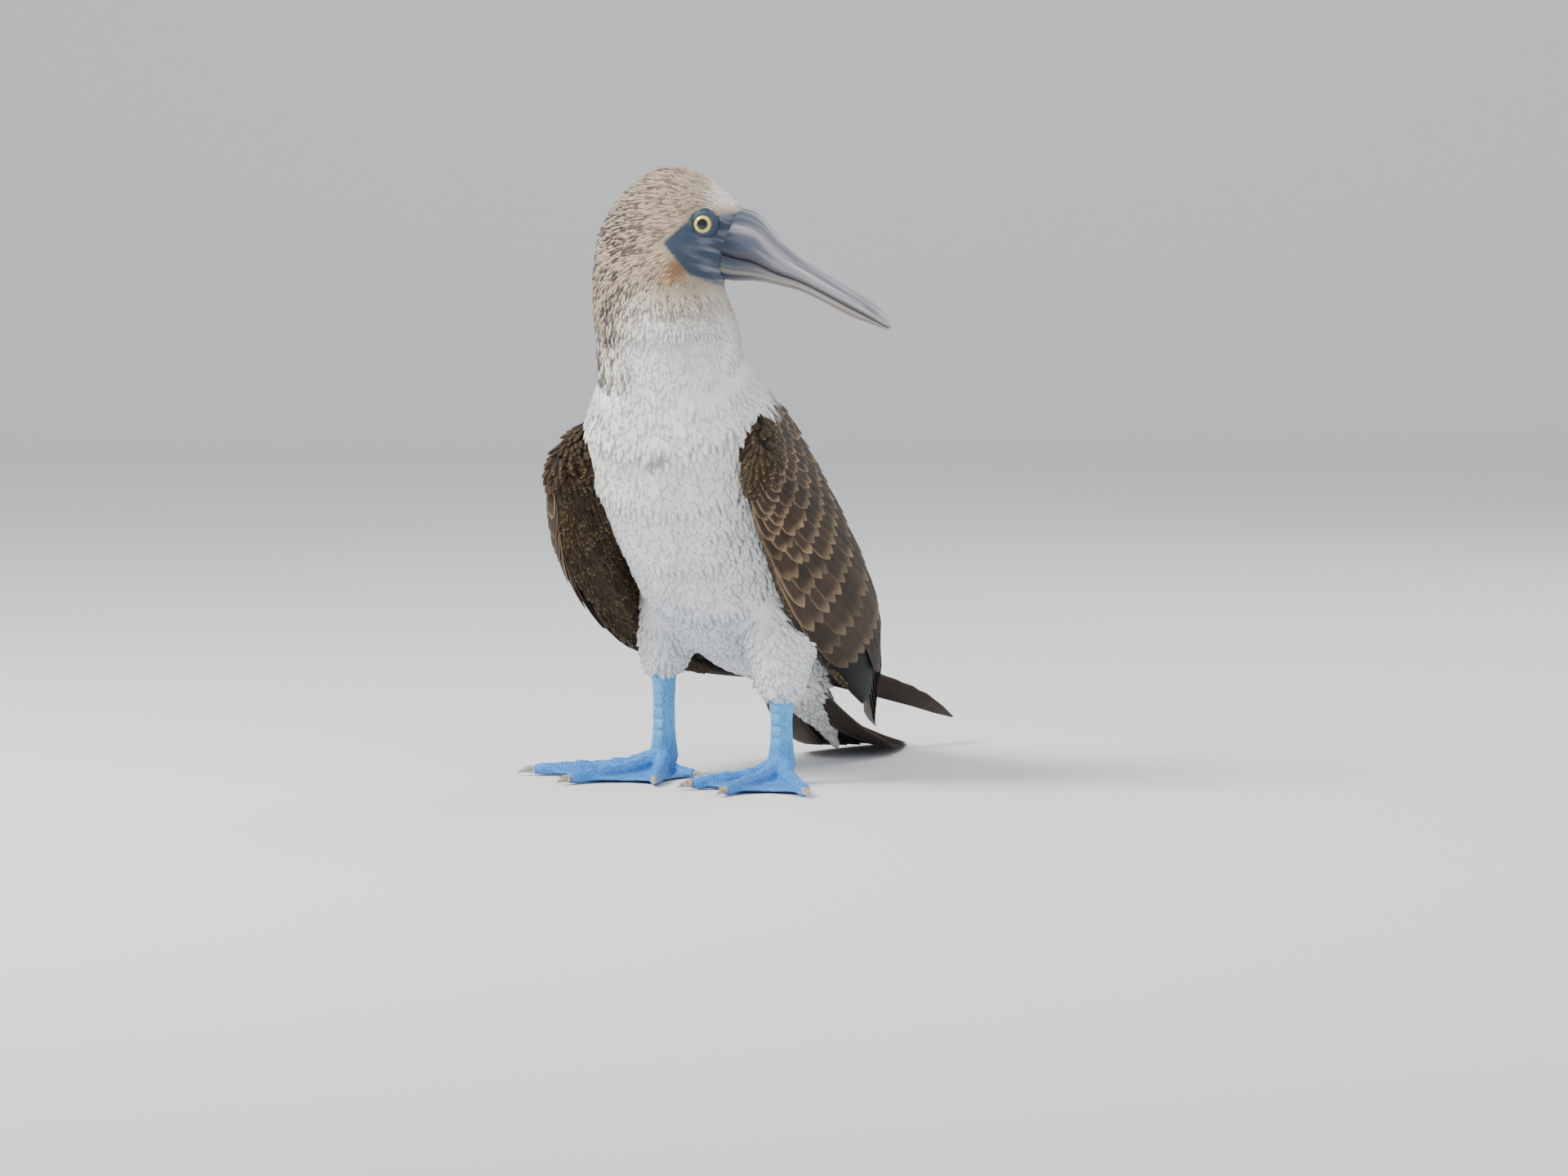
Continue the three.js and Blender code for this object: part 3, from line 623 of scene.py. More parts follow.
def marks_at(points, normals):
    """Markings at points of the body: buff, bare, brown and streak."""
    local = points - head_point(0, 0, 0)
    forward = local @ head_forward / MM
    side = np.abs(local @ head_right) / MM
    z = points[:, 2] / MM
    wave = 4 * np.sin(points[:, 0] * 90) + 3 * np.sin(points[:, 1] * 130 + 1)
    buff = ease(z + wave, *BUFF_HEIGHTS)
    buff *= 1 - 0.8 * ease(forward, *FOREHEAD[0]) * ease(z, *FOREHEAD[1])
    radial = unit(local * np.array([1.0, 1.0, 0.0]))
    front = ease(radial @ WHITE_THROAT, 0.25, 0.85) * (1 - ease(z + wave, *THROAT_HEIGHTS))
    buff *= 1 - 0.92 * front
    rusty_range = np.hypot(forward - RUSTY_PATCH[0], z - RUSTY_PATCH[1])
    buff += ease(RUSTY_PATCH[2] - rusty_range, 0, 6) * ease(side, 4, 12)
    eye_range = np.hypot(forward - EYE_FORWARD / MM, z - EYE_HEIGHT)
    around_eye = 1 - ease(eye_range, *BARE_RADII)
    low, high = np.interp(forward, *FACE_LOW), np.interp(forward, *FACE_HIGH)
    gape = ease(forward, 2, 4) * ease(z, low - 1, low + 1) * (1 - ease(z, high - 1, high + 1))
    bare = np.maximum(around_eye, gape) * ease(side, 0.5, 3.0)
    brown = ease(normals[:, 1] + 0.004 * wave, -0.02, 0.3)
    brown *= ease(z, *MANTLE_HEIGHTS[0]) * (1 - ease(z + wave, *MANTLE_HEIGHTS[1]))
    streak = ease(z + wave, *STREAK_HEIGHTS) * (1 - 0.95 * front)
    streak *= 1 - 0.85 * ease(forward, 22, 40)
    streak *= 0.6 + 0.4 * (1 - ease(forward, -25, 15))
    return np.column_stack([buff, bare, brown, streak])


def lie_at(points, normals):
    """Direction in which the feathers lie, along the surface."""
    z = points[:, 2:3] / MM
    from_bill = points - head_point(52, 352, 0)
    from_bill = unit(from_bill * np.array([1, 1, 0.8]))
    down = np.tile(np.array([0.0, 0.25, -1.0]), (len(points), 1))
    rear = np.tile(np.array([0.0, 1.0, -0.75]), (len(points), 1))
    on_head, on_front = ease(z, 300, 335), ease(z, 130, 230)
    flow = from_bill * on_head + down * (1 - on_head) * on_front + rear * (1 - on_front)
    return along_surface(flow, normals)


def along_surface(flow, normals):
    return unit(flow - normals * np.sum(flow * normals, axis=1, keepdims=True))


# Centre line of the body from rump to crown, for the coat's unwrap
SPINE = np.array([at(0, y, z) for y, z in (
    (112, 52), (62, 92), (4, 144), (-50, 208), (-77, 260), (-82, 300), (-82, 345), (-82, 384))])


def unwrap_at(points):
    steps = np.linalg.norm(np.diff(SPINE, axis=0), axis=1)
    starts = np.concatenate([[0], np.cumsum(steps)])
    best = np.full(len(points), np.inf)
    place = np.zeros((len(points), 2))
    for i, step in enumerate(steps):
        axis = (SPINE[i + 1] - SPINE[i]) / step
        t = np.clip((points - SPINE[i]) @ axis, 0, step)
        off = points - SPINE[i] - t[:, None] * axis
        gap = np.linalg.norm(off, axis=1)
        front = np.cross(np.array([1.0, 0, 0]), axis)
        angle = np.arctan2(off[:, 0], off @ front)
        nearer = gap < best
        best[nearer] = gap[nearer]
        uv = np.column_stack([angle / (2 * math.pi) + 0.5, (starts[i] + t) / starts[-1]])
        place[nearer] = uv[nearer]
    return 0.02 + place * 0.96


def vertex_values(data, key):
    values = np.empty(len(data.vertices) * 3)
    data.vertices.foreach_get(key, values)
    return values.reshape(-1, 3)


# Points tried for each one wanted, how near two may come, and the side of a search cell
TRIES = 2.2
NEAREST_SHARE = 0.78
SEARCH_CELL = 4 * MM
NEIGHBOURS = [(dx, dy, dz) for dx in (-1, 0, 1) for dy in (-1, 0, 1) for dz in (-1, 0, 1)]


def spread_points(piece, spacing_at):
    """Seeded points over a mesh, kept apart by the spacing wanted at each place."""
    data = piece.data
    data.calc_loop_triangles()
    count = len(data.loop_triangles)
    corners = np.empty(count * 3, dtype=np.int32)
    data.loop_triangles.foreach_get("vertices", corners)
    verts, normals = vertex_values(data, "co"), vertex_values(data, "normal")
    triangles = corners.reshape(-1, 3)
    a, b, c = (verts[triangles[:, k]] for k in range(3))
    areas = np.linalg.norm(np.cross(b - a, c - a), axis=1) / 2
    want = areas / spacing_at((a + b + c) / 3) ** 2 * TRIES
    picks = np.repeat(np.arange(count), rng.poisson(want))
    rng.shuffle(picks)
    r1, r2 = np.sqrt(rng.random(len(picks))), rng.random(len(picks))
    weights = np.column_stack([1 - r1, r1 * (1 - r2), r1 * r2])
    points = np.einsum("nk,nkd->nd", weights, verts[triangles[picks]])
    facing = unit(np.einsum("nk,nkd->nd", weights, normals[triangles[picks]]))
    spacing = spacing_at(points)
    grid, keep = {}, []
    for i, point in enumerate(points):
        cell = (point // SEARCH_CELL).astype(int)
        reach = (spacing[i] * NEAREST_SHARE) ** 2
        near = False
        for step in NEIGHBOURS:
            for j in grid.get((cell[0] + step[0], cell[1] + step[1], cell[2] + step[2]), ()):
                gap = points[j] - point
                near = near or gap @ gap < reach
        if not near:
            grid.setdefault(tuple(cell), []).append(i)
            keep.append(i)
    return points[keep], facing[keep]


# Feather of the coat: share of its length and of its width at each station
TUFT_STATIONS = ((0.0, 0.42), (0.4, 1.0), (0.78, 0.72))
TUFT_SINK = 0.25 * MM
TUFT_DROOP = 0.13
TUFT_RIDGE = 0.3
TUFT_TIP_LIFT = 0.8
# Side of a feather's patch on the coat's map
PATCH = 0.003


def tuft_faces():
    """Triangles of one closed feather: top, underside, root and tip."""
    faces = []
    for i in range(len(TUFT_STATIONS) - 1):
        a = i * 3
        faces += [(a, a + 1, a + 4), (a, a + 4, a + 3)]
        faces += [(a + 1, a + 2, a + 5), (a + 1, a + 5, a + 4)]
        faces += [(a, a + 3, a + 5), (a, a + 5, a + 2)]
    last = (len(TUFT_STATIONS) - 1) * 3
    tip = last + 3
    faces += [(0, 2, 1), (last, last + 1, tip)]
    faces += [(last + 1, last + 2, tip), (last, tip, last + 2)]
    return np.array(faces)


def tuft_coat(name, roots, normals, lie, length, width, lift, material, slot, marks, flat):
    """Closed leaf shaped feathers at the roots, each lying along the coat."""
    across = unit(np.cross(lie, normals))
    verts, maps = [], []
    count = len(roots)
    for part, share in TUFT_STATIONS:
        rise = (-TUFT_SINK + lift * part)[:, None]
        centre = roots + lie * (length * part)[:, None] + normals * rise
        droop = normals * (TUFT_DROOP * width * share)[:, None]
        for side in (-1, 0, 1):
            top = centre + across * (side * width * share / 2)[:, None]
            verts.append(top - (droop if side else -TUFT_RIDGE * droop))
            maps.append(np.tile([0.5 + side * share * 0.5, part], (count, 1)))
    tip = roots + lie * length[:, None] + normals * (lift * TUFT_TIP_LIFT)[:, None]
    verts.append(tip)
    maps.append(np.tile([0.5, 1.0], (count, 1)))
    per = len(verts)
    points = np.stack(verts, axis=1).reshape(-1, 3)
    uv = np.stack(maps, axis=1)
    faces = (tuft_faces()[None] + (np.arange(count) * per)[:, None, None]).reshape(-1, 3)
    data = bpy.data.meshes.new(name)
    data.vertices.add(len(points))
    data.vertices.foreach_set("co", points.astype(np.float32).ravel())
    data.loops.add(faces.size)
    data.loops.foreach_set("vertex_index", faces.astype(np.int32).ravel())
    data.polygons.add(len(faces))
    data.polygons.foreach_set("loop_start", np.arange(0, faces.size, 3, dtype=np.int32))
    data.update(calc_edges=True)
    write_map(data, "OFBake", (flat[:, None, :] + (uv - 0.5) * PATCH).reshape(-1, 2))
    write_map(data, "Vane", uv.reshape(-1, 2))
    write_marks(data, np.repeat(marks, per, axis=0))
    data.materials.append(material)
    return settle(name, data, slot)


# Coat of the body, in millimetres: on the trunk, and how much less on neck and head
COAT_SPACING = (3.3, 1.6)
COAT_LENGTH = (12.5, 4.2)
COAT_WIDTH = (6.0, 3.6)
COAT_LIFT = (1.0, 0.4)
MANTLE_LONGER, MANTLE_WIDER = 5, 3
THIGH_HEIGHTS = (70, 112)
THIGH_SHORTER, THIGH_CLOSER = 0.42, 0.6
THIGH_FRONT = 40
COAT_FLOOR = 46 * MM
COAT_ZONES = {"coat_head": (300, 999), "coat_neck": (245, 300), "coat_trunk": (0, 245)}

# Slanting grey mark on the breast: middle, reach along and across
CHEST_MARK_PLACE = (7, -110, 212)
CHEST_MARK = (11, 5)


def body_spacing(points):
    z = points[:, 2] / MM
    closer = COAT_SPACING[1] * ease(z, 225, 300) + THIGH_CLOSER * (1 - ease(z, *THIGH_HEIGHTS))
    return (COAT_SPACING[0] - closer) * MM


def on_chest_mark(points, normals):
    across_view = np.array([math.cos(CAMERA_AZIMUTH), math.sin(CAMERA_AZIMUTH), 0])
    spot = (points - at(*CHEST_MARK_PLACE)) / MM
    slanted = np.abs(spot @ (across_view + UP)) < CHEST_MARK[0]
    narrow = np.abs(spot @ (across_view - UP)) < CHEST_MARK[1]
    return slanted & narrow & (normals[:, 1] < -0.5)


def dress_body(skin):
    points, normals = spread_points(skin, body_spacing)
    marks = marks_at(points, normals)
    kept = (marks[:, 1] < 0.35) & (points[:, 2] > COAT_FLOOR)
    points, normals, marks = points[kept], normals[kept], marks[kept]
    count = len(points)
    z = points[:, 2] / MM
    small, mantle = ease(z, 225, 310), marks[:, 2]
    jitter = 0.8 + 0.4 * rng.random(count)
    length = (COAT_LENGTH[0] - COAT_LENGTH[1] * small + MANTLE_LONGER * mantle) * jitter * MM
    forward = (points - head_point(0, 0, 0)) @ head_forward / MM
    length = length * (1 - 0.35 * ease(forward, 5, 25) * ease(z, 300, 320))
    thigh = (1 - ease(z, *THIGH_HEIGHTS)) * (points[:, 1] < at(0, THIGH_FRONT, 0)[1])
    length = length * (1 - THIGH_SHORTER * thigh)
    width = (COAT_WIDTH[0] - COAT_WIDTH[1] * small + MANTLE_WIDER * mantle) * MM
    width = width * (0.85 + 0.3 * rng.random(count))
    lift = (COAT_LIFT[0] - COAT_LIFT[1] * small) * MM * (0.5 + rng.random(count))
    lie = lie_at(points, normals)
    turn = rng.normal(0, 0.16, count)
    across = np.cross(normals, lie)
    lie = unit(lie * np.cos(turn)[:, None] + across * np.sin(turn)[:, None])
    marks[:, 3] *= ease(rng.random(count), 0.46, 0.72)
    marks[:, 3] = np.maximum(marks[:, 3], 0.45 * on_chest_mark(points, normals))
    flat = unwrap_at(points)
    for name, (low, high) in COAT_ZONES.items():
        zone = (z > low) & (z <= high)
        slot = "white_feathers" if name == "coat_trunk" else "buff_feathers"
        shape = [values[zone] for values in (points, normals, lie, length, width, lift)]
        tuft_coat(name, *shape, COAT, slot, marks[zone], flat[zone])


# Folded wing: lower edge, outer middle and upper edge from wrist to tip, in millimetres
WING_LOWER = np.array([
    [60, -90, 186], [63, -64, 142], [60, -14, 94], [54, 45, 66],
    [43, 100, 47], [24, 160, 33], [-9, 240, 17], [-28, 294, 6]], float)
WING_MIDDLE = np.array([
    [66, -80, 213], [74, -42, 182], [76, 14, 146], [68, 74, 108],
    [47, 118, 78], [21, 168, 47], [-13, 246, 21], [-30, 295, 7]], float)
WING_UPPER = np.array([
    [46, -62, 243], [41, -6, 231], [30, 52, 190], [17, 102, 142],
    [4, 148, 94], [-8, 188, 58], [-22, 250, 25], [-32, 293, 8]], float)
# Steps of height along the wing by share of its length: the right wing is lifted over the left
# one, hangs lower at the bend and stands out there
WING_LIFT = ((0.42, 0.58, 0.72, 0.88, 1), (0, 10, 18, 15, 7))
RIGHT_DROP = ((0, 0.15, 0.35, 0.5), (14, 16, 6, 0))
RIGHT_FLARE = ((0, 0.2, 0.4, 0.55), (12, 14, 5, 0))

# Arm under the feathers: depth inwards, rise outwards, end, and the rounding at the bend
CORE_DEPTH = ((0, 0.15, 0.4, 0.55, 0.66, 1), (17, 22, 18, 8, 2.6, 1.4))
CORE_RISE = 2.5
CORE_END = 0.66
BEND_ANGLES = (2, 14, 28, 42, 58, 74)
BEND_LENGTH = 8
CORE_ROWS, CORE_LANES = 26, 15
CORE_START = 0.004


def spline(points, t):
    last = len(points) - 1
    place = min(max(t, 0.0), 1.0) * last
    i = min(int(place), last - 1)
    w = place - i
    before = points[i - 1] if i > 0 else 2 * points[0] - points[1]
    after = points[i + 2] if i + 2 <= last else 2 * points[last] - points[last - 1]
    a, b = points[i], points[i + 1]
    m0, m1 = (b - before) / 2, (after - a) / 2
    leave, arrive = w**3 - 2 * w**2 + w, w**3 - w**2
    blend = 3 * w**2 - 2 * w**3
    return (1 - blend) * a + leave * m0 + blend * b + arrive * m1


def wing_point(side, t, s):
    low, mid, high = spline(WING_LOWER, t), spline(WING_MIDDLE, t), spline(WING_UPPER, t)
    bow = 2 * mid - low / 2 - high / 2
    point = low * (1 - s) ** 2 + bow * 2 * s * (1 - s) + high * s * s
    if side < 0:
        point[2] += np.interp(t, *WING_LIFT) - np.interp(t, *RIGHT_DROP) * (0.3 + 0.7 * s)
    point[0] *= side
    if side < 0:
        point[0] -= np.interp(t, *RIGHT_FLARE)
    return at(*point)


def wing_frame(side, t, s):
    """Place on the wing and the directions to its tip, across it and outwards."""
    step = 0.01
    ahead = unit(wing_point(side, t + step, s) - wing_point(side, t - step, s))
    across = wing_point(side, t, s + step) - wing_point(side, t, s - step)
    upper = unit(np.cross(ahead, across) * side)
    return wing_point(side, t, s), ahead, unit(np.cross(ahead, upper) * side), upper


# Large feather: stations along it, half width at each, and lanes across it
VANE_LENGTHS = (0, 0.12, 0.3, 0.5, 0.7, 0.84, 0.93, 1.0)
VANE_WIDTHS = (0.55, 0.85, 1.0, 1.0, 0.96, 0.8, 0.5, 0.08)
VANE_LANES = (-1, -0.5, 0, 0.5, 1)
VANE_THICK = 0.5 * MM


class VaneSet:
    """Gathers closed feather vanes into one mesh."""

    def __init__(self):
        self.verts, self.faces, self.vane, self.marks, self.roots = [], [], [], [], []

    def add(self, stations, marks, root, crown=0.10):
        """Stations: place, across, upper and half width, from root to tip."""
        start = len(self.verts)
        rows, lanes = len(stations), len(VANE_LANES)
        layer = rows * lanes
        for under in (0, 1):
            for i, (place, across, upper, width) in enumerate(stations):
                for lane in VANE_LANES:
                    drop = crown * width * lane * lane + under * VANE_THICK * (1 - 0.6 * abs(lane))
                    self.verts.append(place + across * lane * width - upper * drop)
                    self.vane.append((0.5 + lane / 2, VANE_LENGTHS[i]))
        for i in range(rows - 1):
            for j in range(lanes - 1):
                a = start + i * lanes + j
                b = a + layer
                self.faces.append((a, a + 1, a + lanes + 1, a + lanes))
                self.faces.append((b, b + lanes, b + lanes + 1, b + 1))
        for i in range(rows - 1):
            for a, b in ((start + i * lanes, start + (i + 1) * lanes),
                         (start + (i + 2) * lanes - 1, start + (i + 1) * lanes - 1)):
                self.faces.append((a, b, b + layer, a + layer))
        for j in range(lanes - 1):
            a, b = start + j, start + (rows - 1) * lanes + j
            self.faces.append((a, a + layer, a + layer + 1, a + 1))
            self.faces.append((b, b + 1, b + layer + 1, b + layer))
        self.marks += [marks] * (2 * layer)
        self.roots += [root] * (2 * layer)

    def piece(self, name, material, slot, large):
        verts = np.array(self.verts)
        made = new_piece(name, verts, self.faces, material, slot)
        vane = np.array(self.vane)
        write_map(made.data, "Vane", vane)
        per = 2 * len(VANE_LENGTHS) * len(VANE_LANES)
        count = len(verts) // per
        if large:
            columns = math.ceil(math.sqrt(count * 4))
            rows = math.ceil(count / columns)
            order = np.arange(len(verts)) // per
            cell = np.column_stack([order % columns, order // columns])
            size = np.array([1 / columns, 1 / rows])
            flat = (cell + 0.08 + vane * 0.84) * size
        else:
            flat = np.array(self.roots) + (vane - 0.5) * PATCH
        write_map(made.data, "OFBake", flat)
        write_marks(made.data, np.array(self.marks, float))
        return made


def surface_vane(side, ends, lanes, rises, half, slope=0.05, climb=1.0):
    """Stations of a feather on the wing: ends along it, lanes across it, rises over it."""
    stations = []
    for part, share in zip(VANE_LENGTHS, VANE_WIDTHS):
        t = ends[0] + (ends[1] - ends[0]) * part
        s = lanes[0] + (lanes[1] - lanes[0]) * part
        place, _, across, upper = wing_frame(side, t, s)
        rise = rises[0] + (rises[1] - rises[0]) * min(1.0, part * climb)
        leaned = unit(across + upper * slope)
        raised = unit(upper - across * slope)
        stations.append((place + upper * rise * MM, leaned, raised, half * share * MM))
    return stations


# Flight feathers: how many, where they root and end along the wing, rise, half width
PRIMARIES, SECONDARIES = 9, 14
PRIMARY_ROOT, PRIMARY_TIP, PRIMARY_STEP = 0.42, 0.99, 0.27
PRIMARY_RISE, PRIMARY_RISE_STEP, PRIMARY_HALF = 1.2, 0.8, 8.0
SECONDARY_ROOT, SECONDARY_TIP, SECONDARY_STEP = 0.3, 0.6, 0.11
SECONDARY_RISES, SECONDARY_HALF = (1.5, 6.0), 9.0

# Rows of coverts: count, root and tip along the wing, first and last lane, rise, half width, pale
COVERT_ROWS = (
    (17, 0.235, 0.44, 0.05, 0.97, 3.6, 7.4, 0.5),
    (18, 0.185, 0.36, 0.04, 0.98, 4.0, 6.8, 0.6),
    (19, 0.145, 0.29, 0.04, 0.98, 4.4, 6.4, 0.75),
    (19, 0.108, 0.235, 0.04, 0.98, 4.8, 6.0, 0.9),
    (20, 0.074, 0.185, 0.04, 0.98, 5.0, 5.8, 1.0),
    (20, 0.044, 0.14, 0.04, 0.98, 5.0, 5.6, 1.0),
    (20, 0.018, 0.1, 0.04, 0.98, 4.6, 5.4, 1.0),
    (18, -0.004, 0.062, 0.05, 0.98, 3.8, 5.2, 1.0),
)
COVERT_LOW = 1.6
COVERT_CROWN = 0.16


def make_wing(name, side):
    flight = VaneSet()
    for i in range(PRIMARIES):
        part = i / (PRIMARIES - 1)
        ends = PRIMARY_ROOT, PRIMARY_TIP - PRIMARY_STEP * part
        rises = 0.0, PRIMARY_RISE + i * PRIMARY_RISE_STEP
        lanes = 0.08 + 0.56 * part, 0.5
        stations = surface_vane(side, ends, lanes, rises, PRIMARY_HALF, climb=1.6)
        flight.add(stations, (0.35, 0.9 + 0.2 * rng.random(), 0, 1), (0, 0))
    for i in range(SECONDARIES):
        part = i / (SECONDARIES - 1)
        ends = SECONDARY_ROOT, SECONDARY_TIP + SECONDARY_STEP * part
        lane = 0.26 + 0.71 * part
        lanes = lane, lane * 0.9 + 0.06
        stations = surface_vane(side, ends, lanes, SECONDARY_RISES, SECONDARY_HALF)
        flight.add(stations, (0.6, 0.85 + 0.3 * rng.random(), 0, 1), (0, 0))
    flight.piece(f"flight_feathers_{name}", FLIGHT, "brown_feathers", True)
    coverts = VaneSet()
    for count, root, tip, first, last, rise, half, pale in COVERT_ROWS:
        for i in range(count):
            lane = first + (last - first) * (i + 0.35 * rng.random()) / (count - 0.6)
            wobble = 0.012 * (rng.random() - 0.5)
            rises = COVERT_LOW, rise + 0.3 * rng.random()
            ends = root + wobble, tip + wobble
            stations = surface_vane(side, ends, (lane, lane), rises, half)
            shade = 0.7 + 0.7 * rng.random()
            marks = pale * (0.5 + 0.5 * rng.random()), shade, 0, 1
            spot = 0.05 + 0.9 * (root + 0.02), 0.05 + 0.42 * lane + (0.45 if side > 0 else 0)
            coverts.add(stations, marks, spot, crown=COVERT_CROWN)
    coverts.piece(f"coverts_{name}", COVERT, "brown_feathers", False)
    dress_arm(name, side, wing_core(name, side))


def wing_core(name, side):
    """The arm under the feathers, a smooth closed body, rounded at the bend."""
    verts = []
    ring = 2 * CORE_LANES
    for i in range(CORE_ROWS):
        t = CORE_START + (CORE_END - CORE_START) * i / (CORE_ROWS - 1)
        depth = np.interp(t, *CORE_DEPTH) + (np.interp(t, *RIGHT_FLARE) if side < 0 else 0)
        outer, inner = [], []
        for j in range(CORE_LANES):
            place, _, _, upper = wing_frame(side, t, j / (CORE_LANES - 1))
            share = math.sin(math.pi * (j + 1) / (CORE_LANES + 1)) ** 0.4
            outer.append(place + upper * CORE_RISE * share * MM)
            inner.insert(0, place - upper * depth * share * MM)
        verts += outer + inner
    hub = sum(verts[:ring]) / ring
    ahead = wing_frame(side, 0.01, 0.5)[1]
    bend = []
    for angle in BEND_ANGLES:
        share = math.sin(math.radians(angle))
        push = math.cos(math.radians(angle)) * BEND_LENGTH * MM
        bend += [hub + (place - hub) * share - ahead * push for place in verts[:ring]]
    faces = tube_faces(CORE_ROWS + len(BEND_ANGLES), ring)
    core = new_piece(f"wing_core_{name}", bend + verts, faces, CORE, "brown_feathers")
    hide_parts(f"wing_{name}")
    turn_faces_out(core)
    return core


# Small feathers of the arm, in millimetres, and the part of the core that they cover
ARM_SPACING = 2.6
ARM_REAR, ARM_OUTER_REAR, ARM_TOP = 70, -58, 232 * MM
WING_TIP = (28, 294, 6)


def dress_arm(name, side, core):
    """Small mottled feathers round the bend of the wing and its inner face."""
    points, normals = spread_points(core, lambda places: np.full(len(places), ARM_SPACING * MM))
    outer = (side * normals[:, 0] > 0.1) & (points[:, 1] > at(0, ARM_OUTER_REAR, 0)[1])
    kept = (points[:, 1] < at(0, ARM_REAR, 0)[1]) & (points[:, 2] < ARM_TOP) & ~outer
    points, normals = points[kept], normals[kept]
    tip = at(-WING_TIP[0] * side, *WING_TIP[1:])
    lie = along_surface(unit(tip - points) + UP * -0.9, normals)
    count = len(points)
    length = (8 + 3 * rng.random(count)) * MM
    width = (5.0 + 1.6 * rng.random(count)) * MM
    lift = (0.8 + 0.8 * rng.random(count)) * MM
    y, z = points[:, 1], points[:, 2]
    patch = np.sin(z * 210 + 2 * np.sin(y * 150)) * np.sin(y * 170 + 1)
    pale = np.clip(0.45 + 1.1 * patch + 0.25 * rng.normal(size=count), 0, 1)
    shade = 0.7 + 0.7 * rng.random(count)
    marks = np.column_stack([pale, shade, np.zeros(count), np.ones(count)])
    tuft_coat(f"arm_feathers_{name}", points, normals, lie, length, width, lift, ARM,
              "brown_feathers", marks, unwrap_at(points))


# Tail: height of the lowest layer by distance back, and how the pairs are stacked and spread
TAIL_LINE = ((96, 120, 150, 190, 225, 262, 290), (50, 34, 17, 4, 1, 0, 0))
TAIL_PAIRS = 6
TAIL_PAIR_STEP = 13
TAIL_LAYER = 1.0
TAIL_BOTTOM = 0.75
TAIL_ROOT, TAIL_TIP, TAIL_LENGTH = 90, 264, 177
TAIL_HALF = 11.0
TAIL_FAN, TAIL_FAN_STEP = 1.2, 1.5
TAIL_OFFSET, TAIL_OFFSET_STEP = 2, 1.8
TAIL_CROWN = 0.05

# Fleshy root of the tail: distance back, height, half width, half depth
TAIL_RINGS = (
    (88, 62, 19, 12), (104, 53, 19, 13), (124, 41, 17, 11), (146, 26, 11, 6), (158, 19, 4, 2))
TAIL_SIDES = 20
TAIL_SPACING = 3.4


def tail_height(layer, y):
    below = min(TAIL_PAIRS * 2 - 1, (TAIL_TIP - y) / (TAIL_PAIR_STEP / 2)) - layer
    return np.interp(y, *TAIL_LINE) + TAIL_BOTTOM + max(0.0, below) * TAIL_LAYER


def tail_stations(pair, side):
    layer = pair * 2 + (side < 0)
    fan = math.radians(TAIL_FAN + pair * TAIL_FAN_STEP) * side
    offset = side * (TAIL_OFFSET + pair * TAIL_OFFSET_STEP)
    stations = []
    for part, share in zip(VANE_LENGTHS, VANE_WIDTHS):
        reach = part * (TAIL_LENGTH - pair * TAIL_PAIR_STEP)
        y = TAIL_ROOT + reach * math.cos(fan)
        slope = (tail_height(layer, y + 4) - tail_height(layer, y - 4)) / 8
        ahead = unit(np.array([math.sin(fan), math.cos(fan), slope]))
        upper = unit(np.cross(np.array([1.0, 0, 0]), ahead))
        across = unit(np.cross(ahead, upper))
        place = at(offset + reach * math.sin(fan), y, tail_height(layer, y))
        stations.append((place, across, upper, TAIL_HALF * share * MM))
    return stations


def make_tail():
    feathers = VaneSet()
    for pair in range(TAIL_PAIRS):
        for side in (-1, 1):
            marks = 0.8, 1.0 + 0.9 * (pair < 2), 0, 1
            feathers.add(tail_stations(pair, side), marks, (0, 0), crown=TAIL_CROWN)
    feathers.piece("tail_feathers", FLIGHT, "brown_feathers", True)
    verts = []
    for y, z, half, depth in TAIL_RINGS:
        for j in range(TAIL_SIDES):
            a = 2 * math.pi * j / TAIL_SIDES
            verts.append(at(half * math.cos(a), y, z + depth * math.sin(a)))
    faces = tube_faces(len(TAIL_RINGS), TAIL_SIDES)
    root = new_piece("tail_root", verts, faces, SKIN, "white_feathers")
    turn_faces_out(root)
    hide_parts("tail")
    write_marks(root.data, np.zeros((len(verts), 4)))
    points, normals = spread_points(root, lambda places: np.full(len(places), TAIL_SPACING * MM))
    count = len(points)
    lie = along_surface(np.tile(np.array([0.0, 1.0, -0.5]), (count, 1)), normals)
    length = (13 + 5 * rng.random(count)) * MM
    width = (6.5 + 1.5 * rng.random(count)) * MM
    lift = (0.8 + 0.8 * rng.random(count)) * MM
    tuft_coat("tail_coverts", points, normals, lie, length, width, lift, COAT,
              "white_feathers", np.zeros((count, 4)), unwrap_at(points))


# Bill: distance forward of the neck axis, ridge, mouth line and keel heights, half width
BILL = np.array([
    [24, 350, 336, 317, 11], [40, 357, 329, 313.5, 13.4], [56, 355, 325, 313, 13.2],
    [70, 341, 318.4, 310.3, 11.5], [86.5, 327.6, 312.3, 305.7, 8.8],
    [113, 310.8, 298.5, 292.4, 6.4], [126, 302.6, 291.5, 287.6, 4.6],
    [136, 293.5, 286, 284, 2.6], [139, 288, 285.4, 284.6, 0.9]], float)
BILL_START = 0.08
BILL_ROWS, BILL_RING = 44, 26
MOUTH_GAP = 0.15
UPPER_ROUND, LOWER_ROUND = 0.8, 0.7
UPPER_PINCH, LOWER_NARROW = 0.13, 0.95


